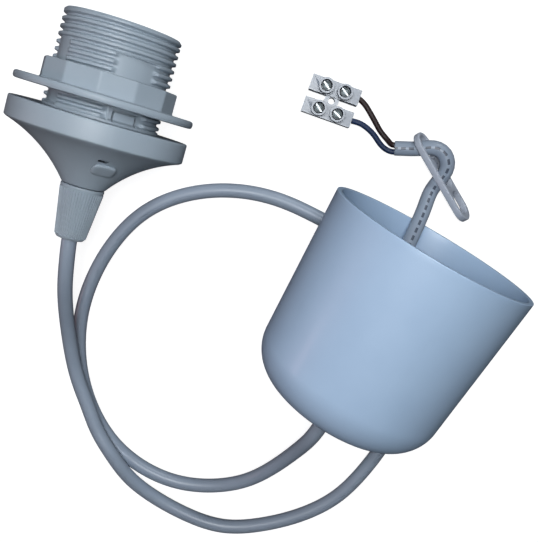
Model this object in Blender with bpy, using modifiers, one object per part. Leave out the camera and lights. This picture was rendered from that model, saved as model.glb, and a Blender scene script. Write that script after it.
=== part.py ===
"""Pendant cord set, laid on a table.

A white E27 lampholder with a threaded neck, a shade ring and a ribbed cord grip lies on its side.
Its round two-core cord makes one loop on the table, runs under a ceiling cup that also lies on
its side, turns back up through the hole in the cup's bottom and out of its mouth, and ends in a
hanger strap and a two-pole terminal block. Units are metres, +Z is up and the table is z = 0.
"""
import math

import bmesh
import bpy
import numpy as np
from mathutils import Matrix, Vector

# General clearances and facets
GAP = 0.0003              # between touching pieces
RUN_GAP = 0.0003          # between the shade ring's bore and the thread crests
HOLDER_FACETS = 32
CUP_FACETS = 40
SMALL_FACETS = 16
CUT_MARGIN = 0.001        # how far a cutter stands out of what it cuts
WELD = 0.000001           # points closer than this are one
PROFILE_WELD = 0.00001    # the same, where a profile meets its own axis or seam
SMOOTH_ANGLE_DEG = 35.0   # edges sharper than this stay sharp

# Lampholder, along its own axis from the flange's upper face (0) to the mouth (+)
FLANGE_RADIUS = 0.03075
FLANGE_THICKNESS = 0.0070
FLANGE_CHAMFER = 0.0006
CAP_RIM_WALL = 0.0021     # radial wall of the cap around the sleeve's flange
CAP_WALL = 0.0020         # wall of the cone
CAP_LEDGE = 0.0016        # width of the step that carries the sleeve's flange
CONE_LENGTH = 0.0165
CONE_END_RADIUS = 0.0076
CONE_HOLLOW = 0.0017      # how far the cone's outline bows in from a straight line
CONE_ARC_STEPS = 7
NOZZLE_RADIUS = 0.0046
NOZZLE_BORE = 0.0032
NOZZLE_LENGTH = 0.0070

SLEEVE_FLANGE_THICKNESS = 0.0020
SLEEVE_SKIRT = 0.0050     # depth of the skirt below the flange's upper face
SLEEVE_LENGTH = 0.0324    # flange's upper face to the mouth
THREAD_RADIUS = 0.0200    # over the crests: the 40 mm shade thread
THREAD_DEPTH = 0.0011
THREAD_PITCH = 0.0025
THREAD_CREST = 0.0009     # width of the flat on a crest
THREAD_RUNOUT = 0.0012    # least height of the plain collar above the flange
MOUTH_CHAMFER = 0.0008
SLEEVE_WALL = 0.0017
LIP_THICKNESS = 0.0022
BORE_INSET = 0.0064       # the lamp bore's wall inside the thread's crests
BORE_RADIUS = THREAD_RADIUS - BORE_INSET   # E27 bore
BORE_WALL = 0.0017
BORE_END = 0.0035         # lower end of the bore tube above the flange's face
FLAT_WIDTHS = (0.0105, 0.0060)        # thread-free strips on the neck
FLAT_ANGLES = (38.0, -52.0)           # degrees from the top, + toward the right
FLAT_DEPTH = 0.00125      # how far the strips lie inside the crests
FLAT_RADIUS = THREAD_RADIUS - FLAT_DEPTH
THREAD_FULL_TURNS = 4     # turns at the mouth that the strips leave whole
LATCH_ANGLE = 24.0        # the latch tab's place around the neck, degrees from the top
LATCH_WIDTH = 0.0072
LATCH_HEIGHT = 0.0042
LATCH_SLIT = 0.0007
LATCH_FOOT = 0.0007       # wall left between the tab and the flange
LATCH_SLIT_DEPTH = 0.0030

RING_STANDOFF = 0.0055    # free gap between the flange and the shade ring
RING_THICKNESS = 0.0026
RING_RADIUS = FLANGE_RADIUS
HUB_WALL = 0.0031         # the hub's corners outside the thread's crests
HUB_ACROSS = 2.0 * (THREAD_RADIUS + HUB_WALL)   # over the corners of the twelve-sided hub
HUB_HEIGHT = 0.0071
HUB_SIDES = 12
RING_EDGE = 0.0005        # bevel on the ring's rim

GRIP_LENGTH = 0.0180
GRIP_RADIUS = 0.0076
GRIP_END_RADIUS = 0.0052
GRIP_SHOULDER = 0.0018    # plain collar above the ribs
GRIP_CHAMFER = 0.0010
GRIP_RIBS = 24
RIB_DEPTH = 0.00035
GRIP_FLOOR = 0.0062       # solid end of the nut, around the cord
CLAMP_LENGTH = 0.0044

CARRIER_THICKNESS = 0.0080
CONTACT_WIDTH = 0.0045
CONTACT_SHEET = 0.0005
CENTRE_CONTACT_REACH = 0.0095
CENTRE_CONTACT_RISE = 0.0040
SIDE_CONTACT_RISE = 0.0095
SIDE_CONTACT_LEAN = 0.0030
SIDE_CONTACT_FOOT = 0.0060            # length of the side contact's foot
TERMINAL_INSET = 0.0122   # the terminals' middle inside the thread's crests
TERMINAL_OFFSET = THREAD_RADIUS - TERMINAL_INSET
TERMINAL_SIZE = (0.0060, 0.0064, 0.0062)
TERMINAL_BORE = 0.00145
TERMINAL_SCREW_RADIUS = 0.0012
TERMINAL_SCREW_HEAD = 0.0021
TERMINAL_HEAD_HEIGHT = 0.0014
TERMINAL_SCREW_LEVEL = 0.0042         # screw's height above the block's lower end

# Ceiling cup, along its own axis from the rim (0) down to the bottom
CUP_RIM_RADIUS = 0.0368
CUP_TAPER_DEG = 3.1
CUP_STRAIGHT = 0.0537     # depth at which the side meets the round bottom corner
CUP_CORNER_RADIUS = 0.0150
CUP_WALL = 0.0018
CUP_HOLE_RADIUS = 0.0040
CUP_CORNER_STEPS = 7
CUP_RIM = (0.11991, -0.00703, 0.04320)    # centre of the rim, on the bench
CUP_HEADING_DEG = 12.8    # mouth's direction, clockwise from the holder's seen from above
CUP_TILT_DEG = 5.75       # mouth raised

# Cord
CORD_DIAMETER = 0.0053
CORE_DIAMETER = 0.0021
CORD_STEP = 0.0140        # longest spacing of the tube's points
CORD_SAG = 0.00025        # chord error allowed where the tube bends
CORD_INSIDE = 0.0240      # length of sheath inside the grip and the cap
CORD_TUBE_STEPS = 3        # bevel resolution of the cord's tube
CORE_STEP = 0.0028
CORE_SAG = 0.00007
CORE_TUBE_STEPS = 2

# Points of the cord's middle line on the bench: lampholder, loop, cup, strap, bare end
CORD_ROUTE = (
    (0.0000, -0.0418, 0.03075),
    (0.0008, -0.0500, 0.0301),
    (0.0016, -0.0600, 0.0267),
    (0.0026, -0.0700, 0.0208),
    (0.0044, -0.0800, 0.0150),
    (0.0074, -0.0903, 0.0109),
    (0.0116, -0.0994, 0.0091),
    (0.0177, -0.1085, 0.0087),
    (0.0238, -0.1170, 0.0087),
    (0.0311, -0.1242, 0.0089),
    (0.0408, -0.1332, 0.0063),
    (0.0530, -0.1398, 0.0033),
    (0.0675, -0.1433, 0.00265),
    (0.0825, -0.1435, 0.00265),
    (0.0972, -0.1382, 0.00265),
    (0.1110, -0.1295, 0.00265),
    (0.1225, -0.1178, 0.00265),
    (0.1302, -0.1025, 0.00265),
    (0.1350, -0.0855, 0.00265),
    (0.1358, -0.0680, 0.00265),
    (0.1322, -0.0505, 0.00265),
    (0.1242, -0.0350, 0.00265),
    (0.1125, -0.0236, 0.00265),
    (0.0985, -0.0163, 0.00265),
    (0.0829, -0.0126, 0.00265),
    (0.0680, -0.0105, 0.00265),
    (0.0540, -0.0111, 0.00265),
    (0.0419, -0.0141, 0.00265),
    (0.0297, -0.0200, 0.00265),
    (0.0185, -0.0296, 0.00265),
    (0.0105, -0.0430, 0.00265),
    (0.0061, -0.0576, 0.00265),
    (0.0048, -0.0725, 0.00265),
    (0.0068, -0.0870, 0.00265),
    (0.0118, -0.1005, 0.00265),
    (0.0200, -0.1130, 0.00265),
    (0.0310, -0.1230, 0.00265),
    (0.0440, -0.1290, 0.00265),
    (0.0585, -0.1310, 0.00265),
    (0.0725, -0.1285, 0.0029),
    (0.0850, -0.1215, 0.0051),
    (0.0940, -0.1100, 0.0112),
    (0.1001, -0.0962, 0.0216),
    (0.1032, -0.0838, 0.0322),
    (0.1050, -0.0727, 0.0362),
    (0.1072, -0.0600, 0.0350),
    (0.1098, -0.0465, 0.0295),
    (0.1125, -0.0330, 0.0232),
    (0.1152, -0.0190, 0.0173),
    (0.1175, -0.0060, 0.0130),
    (0.1190, 0.0035, 0.0088),
    (0.1202, 0.0102, 0.0055),
    (0.1221, 0.0150, 0.0050),
    (0.1228, 0.0186, 0.0059),
    (0.1216, 0.0222, 0.0067),
    (0.1187, 0.0244, 0.0068),
    (0.1150, 0.0245, 0.0064),
    (0.1115, 0.0231, 0.0054),
    (0.1070, 0.0217, 0.0042),
    (0.1023, 0.0205, 0.0035),
)

# Hanger strap, standing on its edge and leaning
STRAP_LENGTH = 0.0374
STRAP_WIDTH = 0.0106
STRAP_THICKNESS = 0.0032
STRAP_CENTRE = (0.12223, 0.01526)
STRAP_HEADING_DEG = -42.2
STRAP_LEAN_DEG = 27.0
STRAP_SLOT_RADIUS = 0.0039
STRAP_SLOT_STRETCH = 0.0011           # the slots' centres of curvature, either side of their middle
STRAP_SLOTS = (-0.01230, -0.00030)     # the cord's two slots, along the strap
STRAP_EYE = 0.0115        # centre of the free eye
STRAP_EYE_RADIUS = 0.0037
STRAP_EYE_STRETCH = 0.0009

# Terminal block, flat on the table
BLOCK_CENTRE = (0.0745, 0.0302)
BLOCK_TURN_DEG = -2.9
POLE_LENGTH = 0.0189
POLE_WIDTH = 0.0057
POLE_PITCH = 0.0084
POLE_HEIGHT = 0.0078
POLE_EDGE = 0.0006
TOWER_HEIGHT = 0.0130
TOWER_RADIUS = 0.0028
SCREW_SPACING = 0.0071
SCREW_WELL_RADIUS = 0.0021
WIRE_LEVEL = 0.0041       # height of the inserts' axis
WIRE_BORE_RADIUS = 0.0024
INSERT_LENGTH = 0.0150
INSERT_RADIUS = 0.0021
INSERT_BORE = 0.0014
WEB_RADIUS = 0.0024
WEB_HEIGHT = 0.0060
WEB_HOLE_RADIUS = 0.00125
BLOCK_SCREW_RADIUS = 0.0017
BLOCK_SLOT_WIDTH = 0.0005
BLOCK_SLOT_DEPTH = 0.0007
BLOCK_SCREW_SINK = 0.0012             # screw's head below the tower's top
BLOCK_SLOT_TURNS = (-38.0, -46.0, -24.0, -52.0)
CORE_BACK = 0.0050        # how far a core runs into its insert

# Cores between the cord's end and the terminal block, on the bench
CORE_SPREAD = 0.0013      # the cores' distance from the cord's middle line at its end
CORE_FLARE = 0.93         # share of the terminals' offset that a core has reached below them
CORE_LEAD = 0.0018        # how far below the terminals that is
BROWN_ROUTE = ((0.0993, 0.0223, 0.0040), (0.0957, 0.0246, 0.0043), (0.0925, 0.0275, 0.0045),
               (0.0893, 0.0305, 0.0044), (0.0868, 0.0326, 0.0042))
BLUE_ROUTE = ((0.0994, 0.0192, 0.0033), (0.0965, 0.0206, 0.0035), (0.0935, 0.0229, 0.0038),
              (0.0903, 0.0246, 0.0040), (0.0872, 0.0255, 0.0041))

WHITE = (0.80, 0.82, 0.84)
CORD_WHITE = (0.66, 0.67, 0.69)
CLEAR_WHITE = (0.74, 0.78, 0.82)
BROWN = (0.060, 0.032, 0.026)
BLUE = (0.020, 0.055, 0.150)
NICKEL = (0.62, 0.63, 0.63)
BRASS = (0.72, 0.56, 0.28)

CORD_PIECES = ("cord_sheath", "core_brown", "core_blue", "hanger_strap", "terminal_block",
               "insert_brown", "insert_blue", "block_screw_1", "block_screw_2",
               "block_screw_3", "block_screw_4")


def clear_scene():
    """Remove every object, so that the script builds into an empty scene."""
    for item in list(bpy.data.objects):
        bpy.data.objects.remove(item, do_unlink=True)


def new_collection(name):
    """Make a collection under the scene's own."""
    made = bpy.data.collections.new(name)
    bpy.context.scene.collection.children.link(made)
    return made


def plain_material(name, colour, roughness, metallic=0.0):
    """Make a Principled material of one colour."""
    made = bpy.data.materials.new(name)
    made.use_nodes = True
    shader = made.node_tree.nodes["Principled BSDF"]
    shader.inputs["Base Color"].default_value = (*colour, 1.0)
    shader.inputs["Roughness"].default_value = roughness
    shader.inputs["Metallic"].default_value = metallic
    return made


class Bench:
    """Collections, materials and the empty that every piece hangs from."""

    def __init__(self):
        self.parts = new_collection("pendant_cord_set")
        self.cutters = new_collection("cutters")
        self.origin = bpy.data.objects.new("bench_origin", None)
        self.parts.objects.link(self.origin)
        self.materials = {
            "plastic": plain_material("white_plastic", WHITE, 0.32),
            "cord": plain_material("cord_pvc", CORD_WHITE, 0.45),
            "clear": plain_material("block_nylon", CLEAR_WHITE, 0.40),
            "brown": plain_material("core_brown", BROWN, 0.45),
            "blue": plain_material("core_blue", BLUE, 0.45),
            "nickel": plain_material("nickel", NICKEL, 0.30, 1.0),
            "brass": plain_material("brass", BRASS, 0.30, 1.0),
        }

    def add(self, name, mesh, material, place):
        """Link a mesh as a named part at its place on the bench."""
        mesh.name = name
        mesh.materials.clear()
        mesh.materials.append(self.materials[material])
        mesh.shade_smooth()
        mesh.set_sharp_from_angle(angle=math.radians(SMOOTH_ANGLE_DEG))
        made = bpy.data.objects.new(name, mesh)
        self.parts.objects.link(made)
        made.parent = self.origin
        made.matrix_local = place
        return made

    def cut(self, part, name, mesh, place):
        """Cut a part with a mesh given in the part's own coordinates."""
        cutter = bpy.data.objects.new(name, mesh)
        self.cutters.objects.link(cutter)
        cutter.parent = part
        cutter.matrix_local = place
        cutter.hide_render = True
        cutter.display_type = "WIRE"
        step = part.modifiers.new(name, "BOOLEAN")
        step.operation = "DIFFERENCE"
        step.solver = "EXACT"
        step.object = cutter

    def join(self, part, name, mesh, place):
        """Unite a part with a mesh given in the part's own coordinates."""
        self.cut(part, name, mesh, place)
        part.modifiers[name].operation = "UNION"


def finished(bm, name):
    """Turn a bmesh into a mesh whose faces point out."""
    bmesh.ops.recalc_face_normals(bm, faces=bm.faces)
    mesh = bpy.data.meshes.new(name)
    bm.to_mesh(mesh)
    bm.free()
    return mesh


def box_mesh(name, size, bevel=0.0):
    """A box about its own centre, with optional bevelled edges."""
    bm = bmesh.new()
    bmesh.ops.create_cube(bm, size=1.0)
    bmesh.ops.scale(bm, vec=size, verts=bm.verts)
    if bevel > 0.0:
        bmesh.ops.bevel(bm, geom=bm.edges, offset=bevel, segments=1, affect="EDGES")
    return finished(bm, name)


def rod_mesh(name, radius, length, facets=SMALL_FACETS, top_radius=None):
    """A closed cylinder or cone along Z about its own centre."""
    bm = bmesh.new()
    bmesh.ops.create_cone(bm, cap_ends=True, segments=facets, radius1=radius,
                          radius2=radius if top_radius is None else top_radius, depth=length)
    return finished(bm, name)


def prism_mesh(name, outline, thickness):
    """An outline in the XZ plane, thickened along Y about y = 0."""
    bm = bmesh.new()
    ring = [bm.verts.new((x, -thickness / 2.0, z)) for x, z in outline]
    face = bm.faces.new(ring)
    grown = bmesh.ops.extrude_face_region(bm, geom=[face])
    moved = [item for item in grown["geom"] if isinstance(item, bmesh.types.BMVert)]
    bmesh.ops.translate(bm, vec=(0.0, thickness, 0.0), verts=moved)
    return finished(bm, name)


def turned_mesh(name, profile, facets):
    """Turn a closed profile of (radius, height) points about Z with a Screw modifier."""
    outline = bpy.data.meshes.new(name + "_profile")
    count = len(profile)
    edges = [(index, (index + 1) % count) for index in range(count)]
    outline.from_pydata([(radius, 0.0, height) for radius, height in profile], edges, [])
    holder = bpy.data.objects.new(name + "_profile", outline)
    bpy.context.scene.collection.objects.link(holder)
    screw = holder.modifiers.new("turn", "SCREW")
    screw.axis = "Z"
    screw.angle = math.tau
    screw.steps = facets
    screw.render_steps = facets
    screw.use_merge_vertices = True
    screw.merge_threshold = PROFILE_WELD
    mesh = evaluated_mesh(holder)
    bpy.data.objects.remove(holder, do_unlink=True)
    return mesh


def evaluated_mesh(item):
    """The mesh that an object shows with its modifiers, or a curve with its bevel."""
    bpy.context.view_layer.update()
    graph = bpy.context.evaluated_depsgraph_get()
    mesh = bpy.data.meshes.new_from_object(item.evaluated_get(graph))
    bm = bmesh.new()
    bm.from_mesh(mesh)
    bmesh.ops.remove_doubles(bm, verts=bm.verts, dist=WELD)
    bmesh.ops.recalc_face_normals(bm, faces=bm.faces)
    bm.to_mesh(mesh)
    bm.free()
    return mesh


def arc_points(centre, radius, start_deg, end_deg, steps):
    """Points of an arc in the profile plane, ends included."""
    angles = [math.radians(start_deg + (end_deg - start_deg) * index / steps)
              for index in range(steps + 1)]
    return [(centre[0] + radius * math.cos(turn), centre[1] + radius * math.sin(turn))
            for turn in angles]


def bowed_points(start, end, bow, steps):
    """Points from start to end along a shallow arc that bows to the left of travel."""
    chord = (Vector(end) - Vector(start))
    across = Vector((-chord.y, chord.x)).normalized()
    points = []
    for index in range(steps + 1):
        share = index / steps
        points.append(tuple(Vector(start) + chord * share + across * bow * 4.0 * share * (1.0 - share)))
    return points


def spline_through(points):
    """Coefficients of a natural cubic spline through points, over their chord length."""
    knots = np.concatenate(([0.0], np.cumsum(np.linalg.norm(np.diff(points, axis=0), axis=1))))
    steps = np.diff(knots)
    count = len(points)
    system = np.eye(count)
    right = np.zeros((count, 3))
    for index in range(1, count - 1):
        system[index, index - 1] = steps[index - 1]
        system[index, index] = 2.0 * (steps[index - 1] + steps[index])
        system[index, index + 1] = steps[index]
        right[index] = 6.0 * ((points[index + 1] - points[index]) / steps[index]
                              - (points[index] - points[index - 1]) / steps[index - 1])
    return knots, np.linalg.solve(system, right)


def spline_point(points, knots, bends, place):
    """A point and the curvature of the spline at a place along it."""
    index = min(max(int(np.searchsorted(knots, place)) - 1, 0), len(knots) - 2)
    step = knots[index + 1] - knots[index]
    ahead = (place - knots[index]) / step
    behind = 1.0 - ahead
    curve = (behind ** 3 - behind) * bends[index] + (ahead ** 3 - ahead) * bends[index + 1]
    point = behind * points[index] + ahead * points[index + 1] + curve * step ** 2 / 6.0
    bend = np.linalg.norm(behind * bends[index] + ahead * bends[index + 1])
    return point, bend


def walked_route(route, longest, sag):
    """Points read from the smooth curve through a route, closer where it bends."""
    points = np.array(route)
    knots, bends = spline_through(points)
    walked = []
    place = 0.0
    while place < knots[-1] - 0.25 * longest:
        point, bend = spline_point(points, knots, bends, place)
        walked.append(point)
        ahead = min(place + 0.5 * longest, knots[-1])
        bend = max(bend, spline_point(points, knots, bends, ahead)[1], 0.001)
        place += min(longest, math.sqrt(8.0 * sag / bend))
    walked.append(points[-1])
    return walked


def tube_mesh(name, points, diameter, roundness):
    """A capped round tube along points: a POLY curve with a bevel, made a welded mesh."""
    curve = bpy.data.curves.new(name, "CURVE")
    curve.dimensions = "3D"
    curve.bevel_depth = diameter / 2.0
    curve.bevel_resolution = roundness
    curve.use_fill_caps = True
    spline = curve.splines.new("POLY")
    spline.points.add(len(points) - 1)
    for knot, point in zip(spline.points, points):
        knot.co = (*point, 1.0)
    holder = bpy.data.objects.new(name, curve)
    bpy.context.scene.collection.objects.link(holder)
    mesh = evaluated_mesh(holder)
    bpy.data.objects.remove(holder, do_unlink=True)
    return mesh


def holder_place():
    """The lampholder's frame: its axis +Z lies along the bench's +Y, its -Y looks up."""
    return Matrix.Translation((0.0, 0.0, FLANGE_RADIUS)) @ Matrix.Rotation(-math.pi / 2.0, 4, "X")


def cup_place():
    """The cup's frame: +Z runs out of its mouth."""
    turn = Matrix.Rotation(-math.radians(CUP_HEADING_DEG), 4, "Z")
    lay = Matrix.Rotation(-math.pi / 2.0 + math.radians(CUP_TILT_DEG), 4, "X")
    return Matrix.Translation(CUP_RIM) @ turn @ lay


def around(angle_deg, radius, height):
    """A place on the holder's side, with +X pointing out, at degrees from its top."""
    turn = math.radians(angle_deg) - math.pi / 2.0
    return Matrix.Rotation(turn, 4, "Z") @ Matrix.Translation((radius, 0.0, height))


def make_cap(bench):
    """Flange, trumpet cone and threaded nozzle in one thin shell."""
    seat = FLANGE_RADIUS - CAP_RIM_WALL
    ledge = seat - CAP_LEDGE
    cone_top = -FLANGE_THICKNESS
    cone_end = cone_top - CONE_LENGTH
    nozzle_end = cone_end - NOZZLE_LENGTH
    crease = FLANGE_RADIUS - 2.0 * FLANGE_CHAMFER
    outer = bowed_points((crease, cone_top), (CONE_END_RADIUS, cone_end), -CONE_HOLLOW, CONE_ARC_STEPS)
    inner = bowed_points((NOZZLE_BORE + CAP_WALL, cone_end + CAP_WALL),
                         (ledge, cone_top + CAP_WALL / 2.0), CONE_HOLLOW, CONE_ARC_STEPS)
    profile = [(FLANGE_RADIUS - FLANGE_CHAMFER, 0.0), (FLANGE_RADIUS, -FLANGE_CHAMFER),
               (FLANGE_RADIUS, cone_top + FLANGE_CHAMFER)]
    profile += outer
    profile += [(NOZZLE_RADIUS, cone_end), (NOZZLE_RADIUS, nozzle_end), (NOZZLE_BORE, nozzle_end),
                (NOZZLE_BORE, cone_end + CAP_WALL / 2.0)]
    profile += inner
    profile += [(ledge, -SLEEVE_FLANGE_THICKNESS - GAP), (seat, -SLEEVE_FLANGE_THICKNESS - GAP), (seat, 0.0)]
    bench.add("holder_cap", turned_mesh("holder_cap", profile, HOLDER_FACETS), "plastic", holder_place())


def thread_profile():
    """The neck's outer profile from the mouth down to the flange."""
    root = THREAD_RADIUS - THREAD_DEPTH
    flank = (THREAD_PITCH - THREAD_CREST) / 2.0
    band = SLEEVE_LENGTH - MOUTH_CHAMFER - THREAD_CREST / 2.0
    height = band - flank
    points = [(THREAD_RADIUS - MOUTH_CHAMFER, SLEEVE_LENGTH),
              (THREAD_RADIUS, SLEEVE_LENGTH - MOUTH_CHAMFER), (THREAD_RADIUS, band), (root, height)]
    while height - THREAD_PITCH > THREAD_RUNOUT:
        points += [(THREAD_RADIUS, height - flank), (THREAD_RADIUS, height - flank - THREAD_CREST),
                   (root, height - THREAD_PITCH)]
        height -= THREAD_PITCH
    return points + [(THREAD_RADIUS, height - flank)]


def make_sleeve(bench):
    """Threaded neck with its flange, skirt and E27 bore, thread-free strips and a latch tab."""
    root = THREAD_RADIUS - THREAD_DEPTH
    inside = root - SLEEVE_WALL
    flange = FLANGE_RADIUS - CAP_RIM_WALL - GAP
    skirt = root + SLEEVE_WALL / 2.0
    profile = thread_profile()
    profile += [(THREAD_RADIUS, 0.0), (flange, 0.0), (flange, -SLEEVE_FLANGE_THICKNESS),
                (skirt, -SLEEVE_FLANGE_THICKNESS), (skirt, -SLEEVE_SKIRT), (inside, -SLEEVE_SKIRT),
                (inside, SLEEVE_LENGTH - LIP_THICKNESS),
                (BORE_RADIUS + BORE_WALL, SLEEVE_LENGTH - LIP_THICKNESS),
                (BORE_RADIUS + BORE_WALL, BORE_END), (BORE_RADIUS, BORE_END),
                (BORE_RADIUS, SLEEVE_LENGTH - MOUTH_CHAMFER),
                (BORE_RADIUS + MOUTH_CHAMFER, SLEEVE_LENGTH)]
    sleeve = bench.add("threaded_sleeve", turned_mesh("threaded_sleeve", profile, HOLDER_FACETS),
                       "plastic", holder_place())
    strip_top = SLEEVE_LENGTH - MOUTH_CHAMFER - THREAD_FULL_TURNS * THREAD_PITCH
    for index, (angle, width) in enumerate(zip(FLAT_ANGLES, FLAT_WIDTHS)):
        deep = THREAD_RADIUS - FLAT_RADIUS + CUT_MARGIN
        cutter = box_mesh("strip", (deep, width, strip_top - THREAD_RUNOUT / 2.0))
        place = around(angle, FLAT_RADIUS + deep / 2.0, (strip_top + THREAD_RUNOUT / 2.0) / 2.0)
        bench.cut(sleeve, f"strip_{index}", cutter, place)
    middle = LATCH_FOOT + LATCH_HEIGHT / 2.0
    slits = ((LATCH_WIDTH / 2.0, middle, LATCH_SLIT, LATCH_HEIGHT),
             (-LATCH_WIDTH / 2.0, middle, LATCH_SLIT, LATCH_HEIGHT),
             (0.0, LATCH_FOOT + LATCH_HEIGHT, LATCH_WIDTH + LATCH_SLIT, LATCH_SLIT))
    for index, (side, height, width, tall) in enumerate(slits):
        cutter = box_mesh("latch_slit", (LATCH_SLIT_DEPTH * 2.0, width, tall))
        place = around(LATCH_ANGLE, root, height) @ Matrix.Translation((0.0, side, 0.0))
        bench.cut(sleeve, f"latch_slit_{index}", cutter, place)


def make_ring(bench):
    """Shade ring: a thin disc with a twelve-sided hub and a bore that clears the thread."""
    bore = THREAD_RADIUS + RUN_GAP
    top = RING_STANDOFF + RING_THICKNESS
    disc = [(RING_RADIUS - RING_EDGE, top), (RING_RADIUS, top - RING_EDGE),
            (RING_RADIUS, RING_STANDOFF + RING_EDGE), (RING_RADIUS - RING_EDGE, RING_STANDOFF),
            (bore - CUT_MARGIN, RING_STANDOFF), (bore - CUT_MARGIN, top)]
    ring = bench.add("shade_ring", turned_mesh("shade_ring", disc, HOLDER_FACETS), "plastic", holder_place())
    hub = rod_mesh("hub", HUB_ACROSS / 2.0, HUB_HEIGHT + RING_THICKNESS / 2.0, HUB_SIDES)
    height = top - RING_THICKNESS / 2.0 + (HUB_HEIGHT + RING_THICKNESS / 2.0) / 2.0
    bench.join(ring, "hub", hub, Matrix.Translation((0.0, 0.0, height)))
    hole = rod_mesh("ring_bore", bore, 2.0 * (HUB_HEIGHT + RING_THICKNESS), HOLDER_FACETS)
    bench.cut(ring, "ring_bore", hole, Matrix.Translation((0.0, 0.0, top)))


def make_grip(bench):
    """Ribbed cord grip nut over the cap's nozzle, and the clamp ring inside it."""
    top = -FLANGE_THICKNESS - CONE_LENGTH - GAP
    end = top - GRIP_LENGTH
    floor = end + GRIP_FLOOR
    bore = CORD_DIAMETER / 2.0 + GAP
    cavity = NOZZLE_RADIUS + GAP
    chamfer_top = end + GRIP_CHAMFER
    profile = [(GRIP_RADIUS - RIB_DEPTH, top), (GRIP_RADIUS, top - RIB_DEPTH),
               (GRIP_RADIUS, top - GRIP_SHOULDER),
               (GRIP_RADIUS - RIB_DEPTH, top - GRIP_SHOULDER - RIB_DEPTH),
               (GRIP_END_RADIUS, chamfer_top), (GRIP_END_RADIUS - GRIP_CHAMFER, end),
               (bore, end), (bore, floor), (cavity, floor), (cavity, top)]
    mesh = turned_mesh("cord_grip_nut", profile, 2 * GRIP_RIBS)
    upper = top - GRIP_SHOULDER
    for vert in mesh.vertices:
        radius = math.hypot(vert.co.x, vert.co.y)
        step = round(math.atan2(vert.co.y, vert.co.x) / (math.pi / GRIP_RIBS))
        ribbed = end + GRIP_CHAMFER / 2.0 < vert.co.z < upper - GAP / 2.0 and radius > cavity
        if step % 2 and ribbed and vert.co.z < chamfer_top + GAP:
            vert.co.x *= 1.0 - RIB_DEPTH / radius
            vert.co.y *= 1.0 - RIB_DEPTH / radius
        elif step % 2 == 0 and ribbed and vert.co.z > chamfer_top + GAP:
            vert.co.x *= 1.0 + RIB_DEPTH / radius
            vert.co.y *= 1.0 + RIB_DEPTH / radius
    bench.add("cord_grip_nut", mesh, "plastic", holder_place())
    clamp_top = -FLANGE_THICKNESS - CONE_LENGTH - NOZZLE_LENGTH - GAP
    clamp_end = clamp_top - CLAMP_LENGTH
    clamp = [(NOZZLE_RADIUS, clamp_top), (NOZZLE_RADIUS, clamp_end), (bore, clamp_end), (bore, clamp_top)]
    bench.add("cord_clamp", turned_mesh("cord_clamp", clamp, SMALL_FACETS), "plastic", holder_place())


def make_insides(bench):
    """Contact carrier, two contacts, two terminals with their screws, and the holder's cores."""
    radius = THREAD_RADIUS - THREAD_DEPTH - SLEEVE_WALL - GAP
    top = BORE_END - GAP
    low = top - CARRIER_THICKNESS
    middle = (top + low) / 2.0
    hold = holder_place()
    bench.add("contact_carrier", rod_mesh("contact_carrier", radius, CARRIER_THICKNESS, HOLDER_FACETS),
              "plastic", hold @ Matrix.Translation((0.0, 0.0, middle)))
    sheet = CONTACT_SHEET
    reach = CENTRE_CONTACT_REACH
    foot = top + GAP
    rise = foot + CENTRE_CONTACT_RISE
    tongue = [(-reach, foot), (-reach / 3.0, foot), (reach / 3.0, rise - sheet), (reach / 3.0, rise),
              (0.0, rise), (-reach / 2.0, foot + sheet), (-reach, foot + sheet)]
    bench.add("centre_contact", prism_mesh("centre_contact", tongue, CONTACT_WIDTH), "brass", hold)
    wall = BORE_RADIUS - GAP - CONTACT_WIDTH ** 2 / (8.0 * BORE_RADIUS)
    lean = wall - SIDE_CONTACT_LEAN
    high = foot + SIDE_CONTACT_RISE
    strip = [(wall - SIDE_CONTACT_FOOT, foot), (wall, foot), (wall, foot + 2.0 * sheet), (lean, high),
             (lean - sheet, high), (wall - 2.0 * sheet, foot + 2.0 * sheet),
             (wall - SIDE_CONTACT_FOOT, foot + sheet)]
    bench.add("side_contact", prism_mesh("side_contact", strip, CONTACT_WIDTH), "brass", hold)
    for side, word in ((1.0, "brown"), (-1.0, "blue")):
        make_holder_terminal(bench, side, word, low - GAP)


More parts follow.
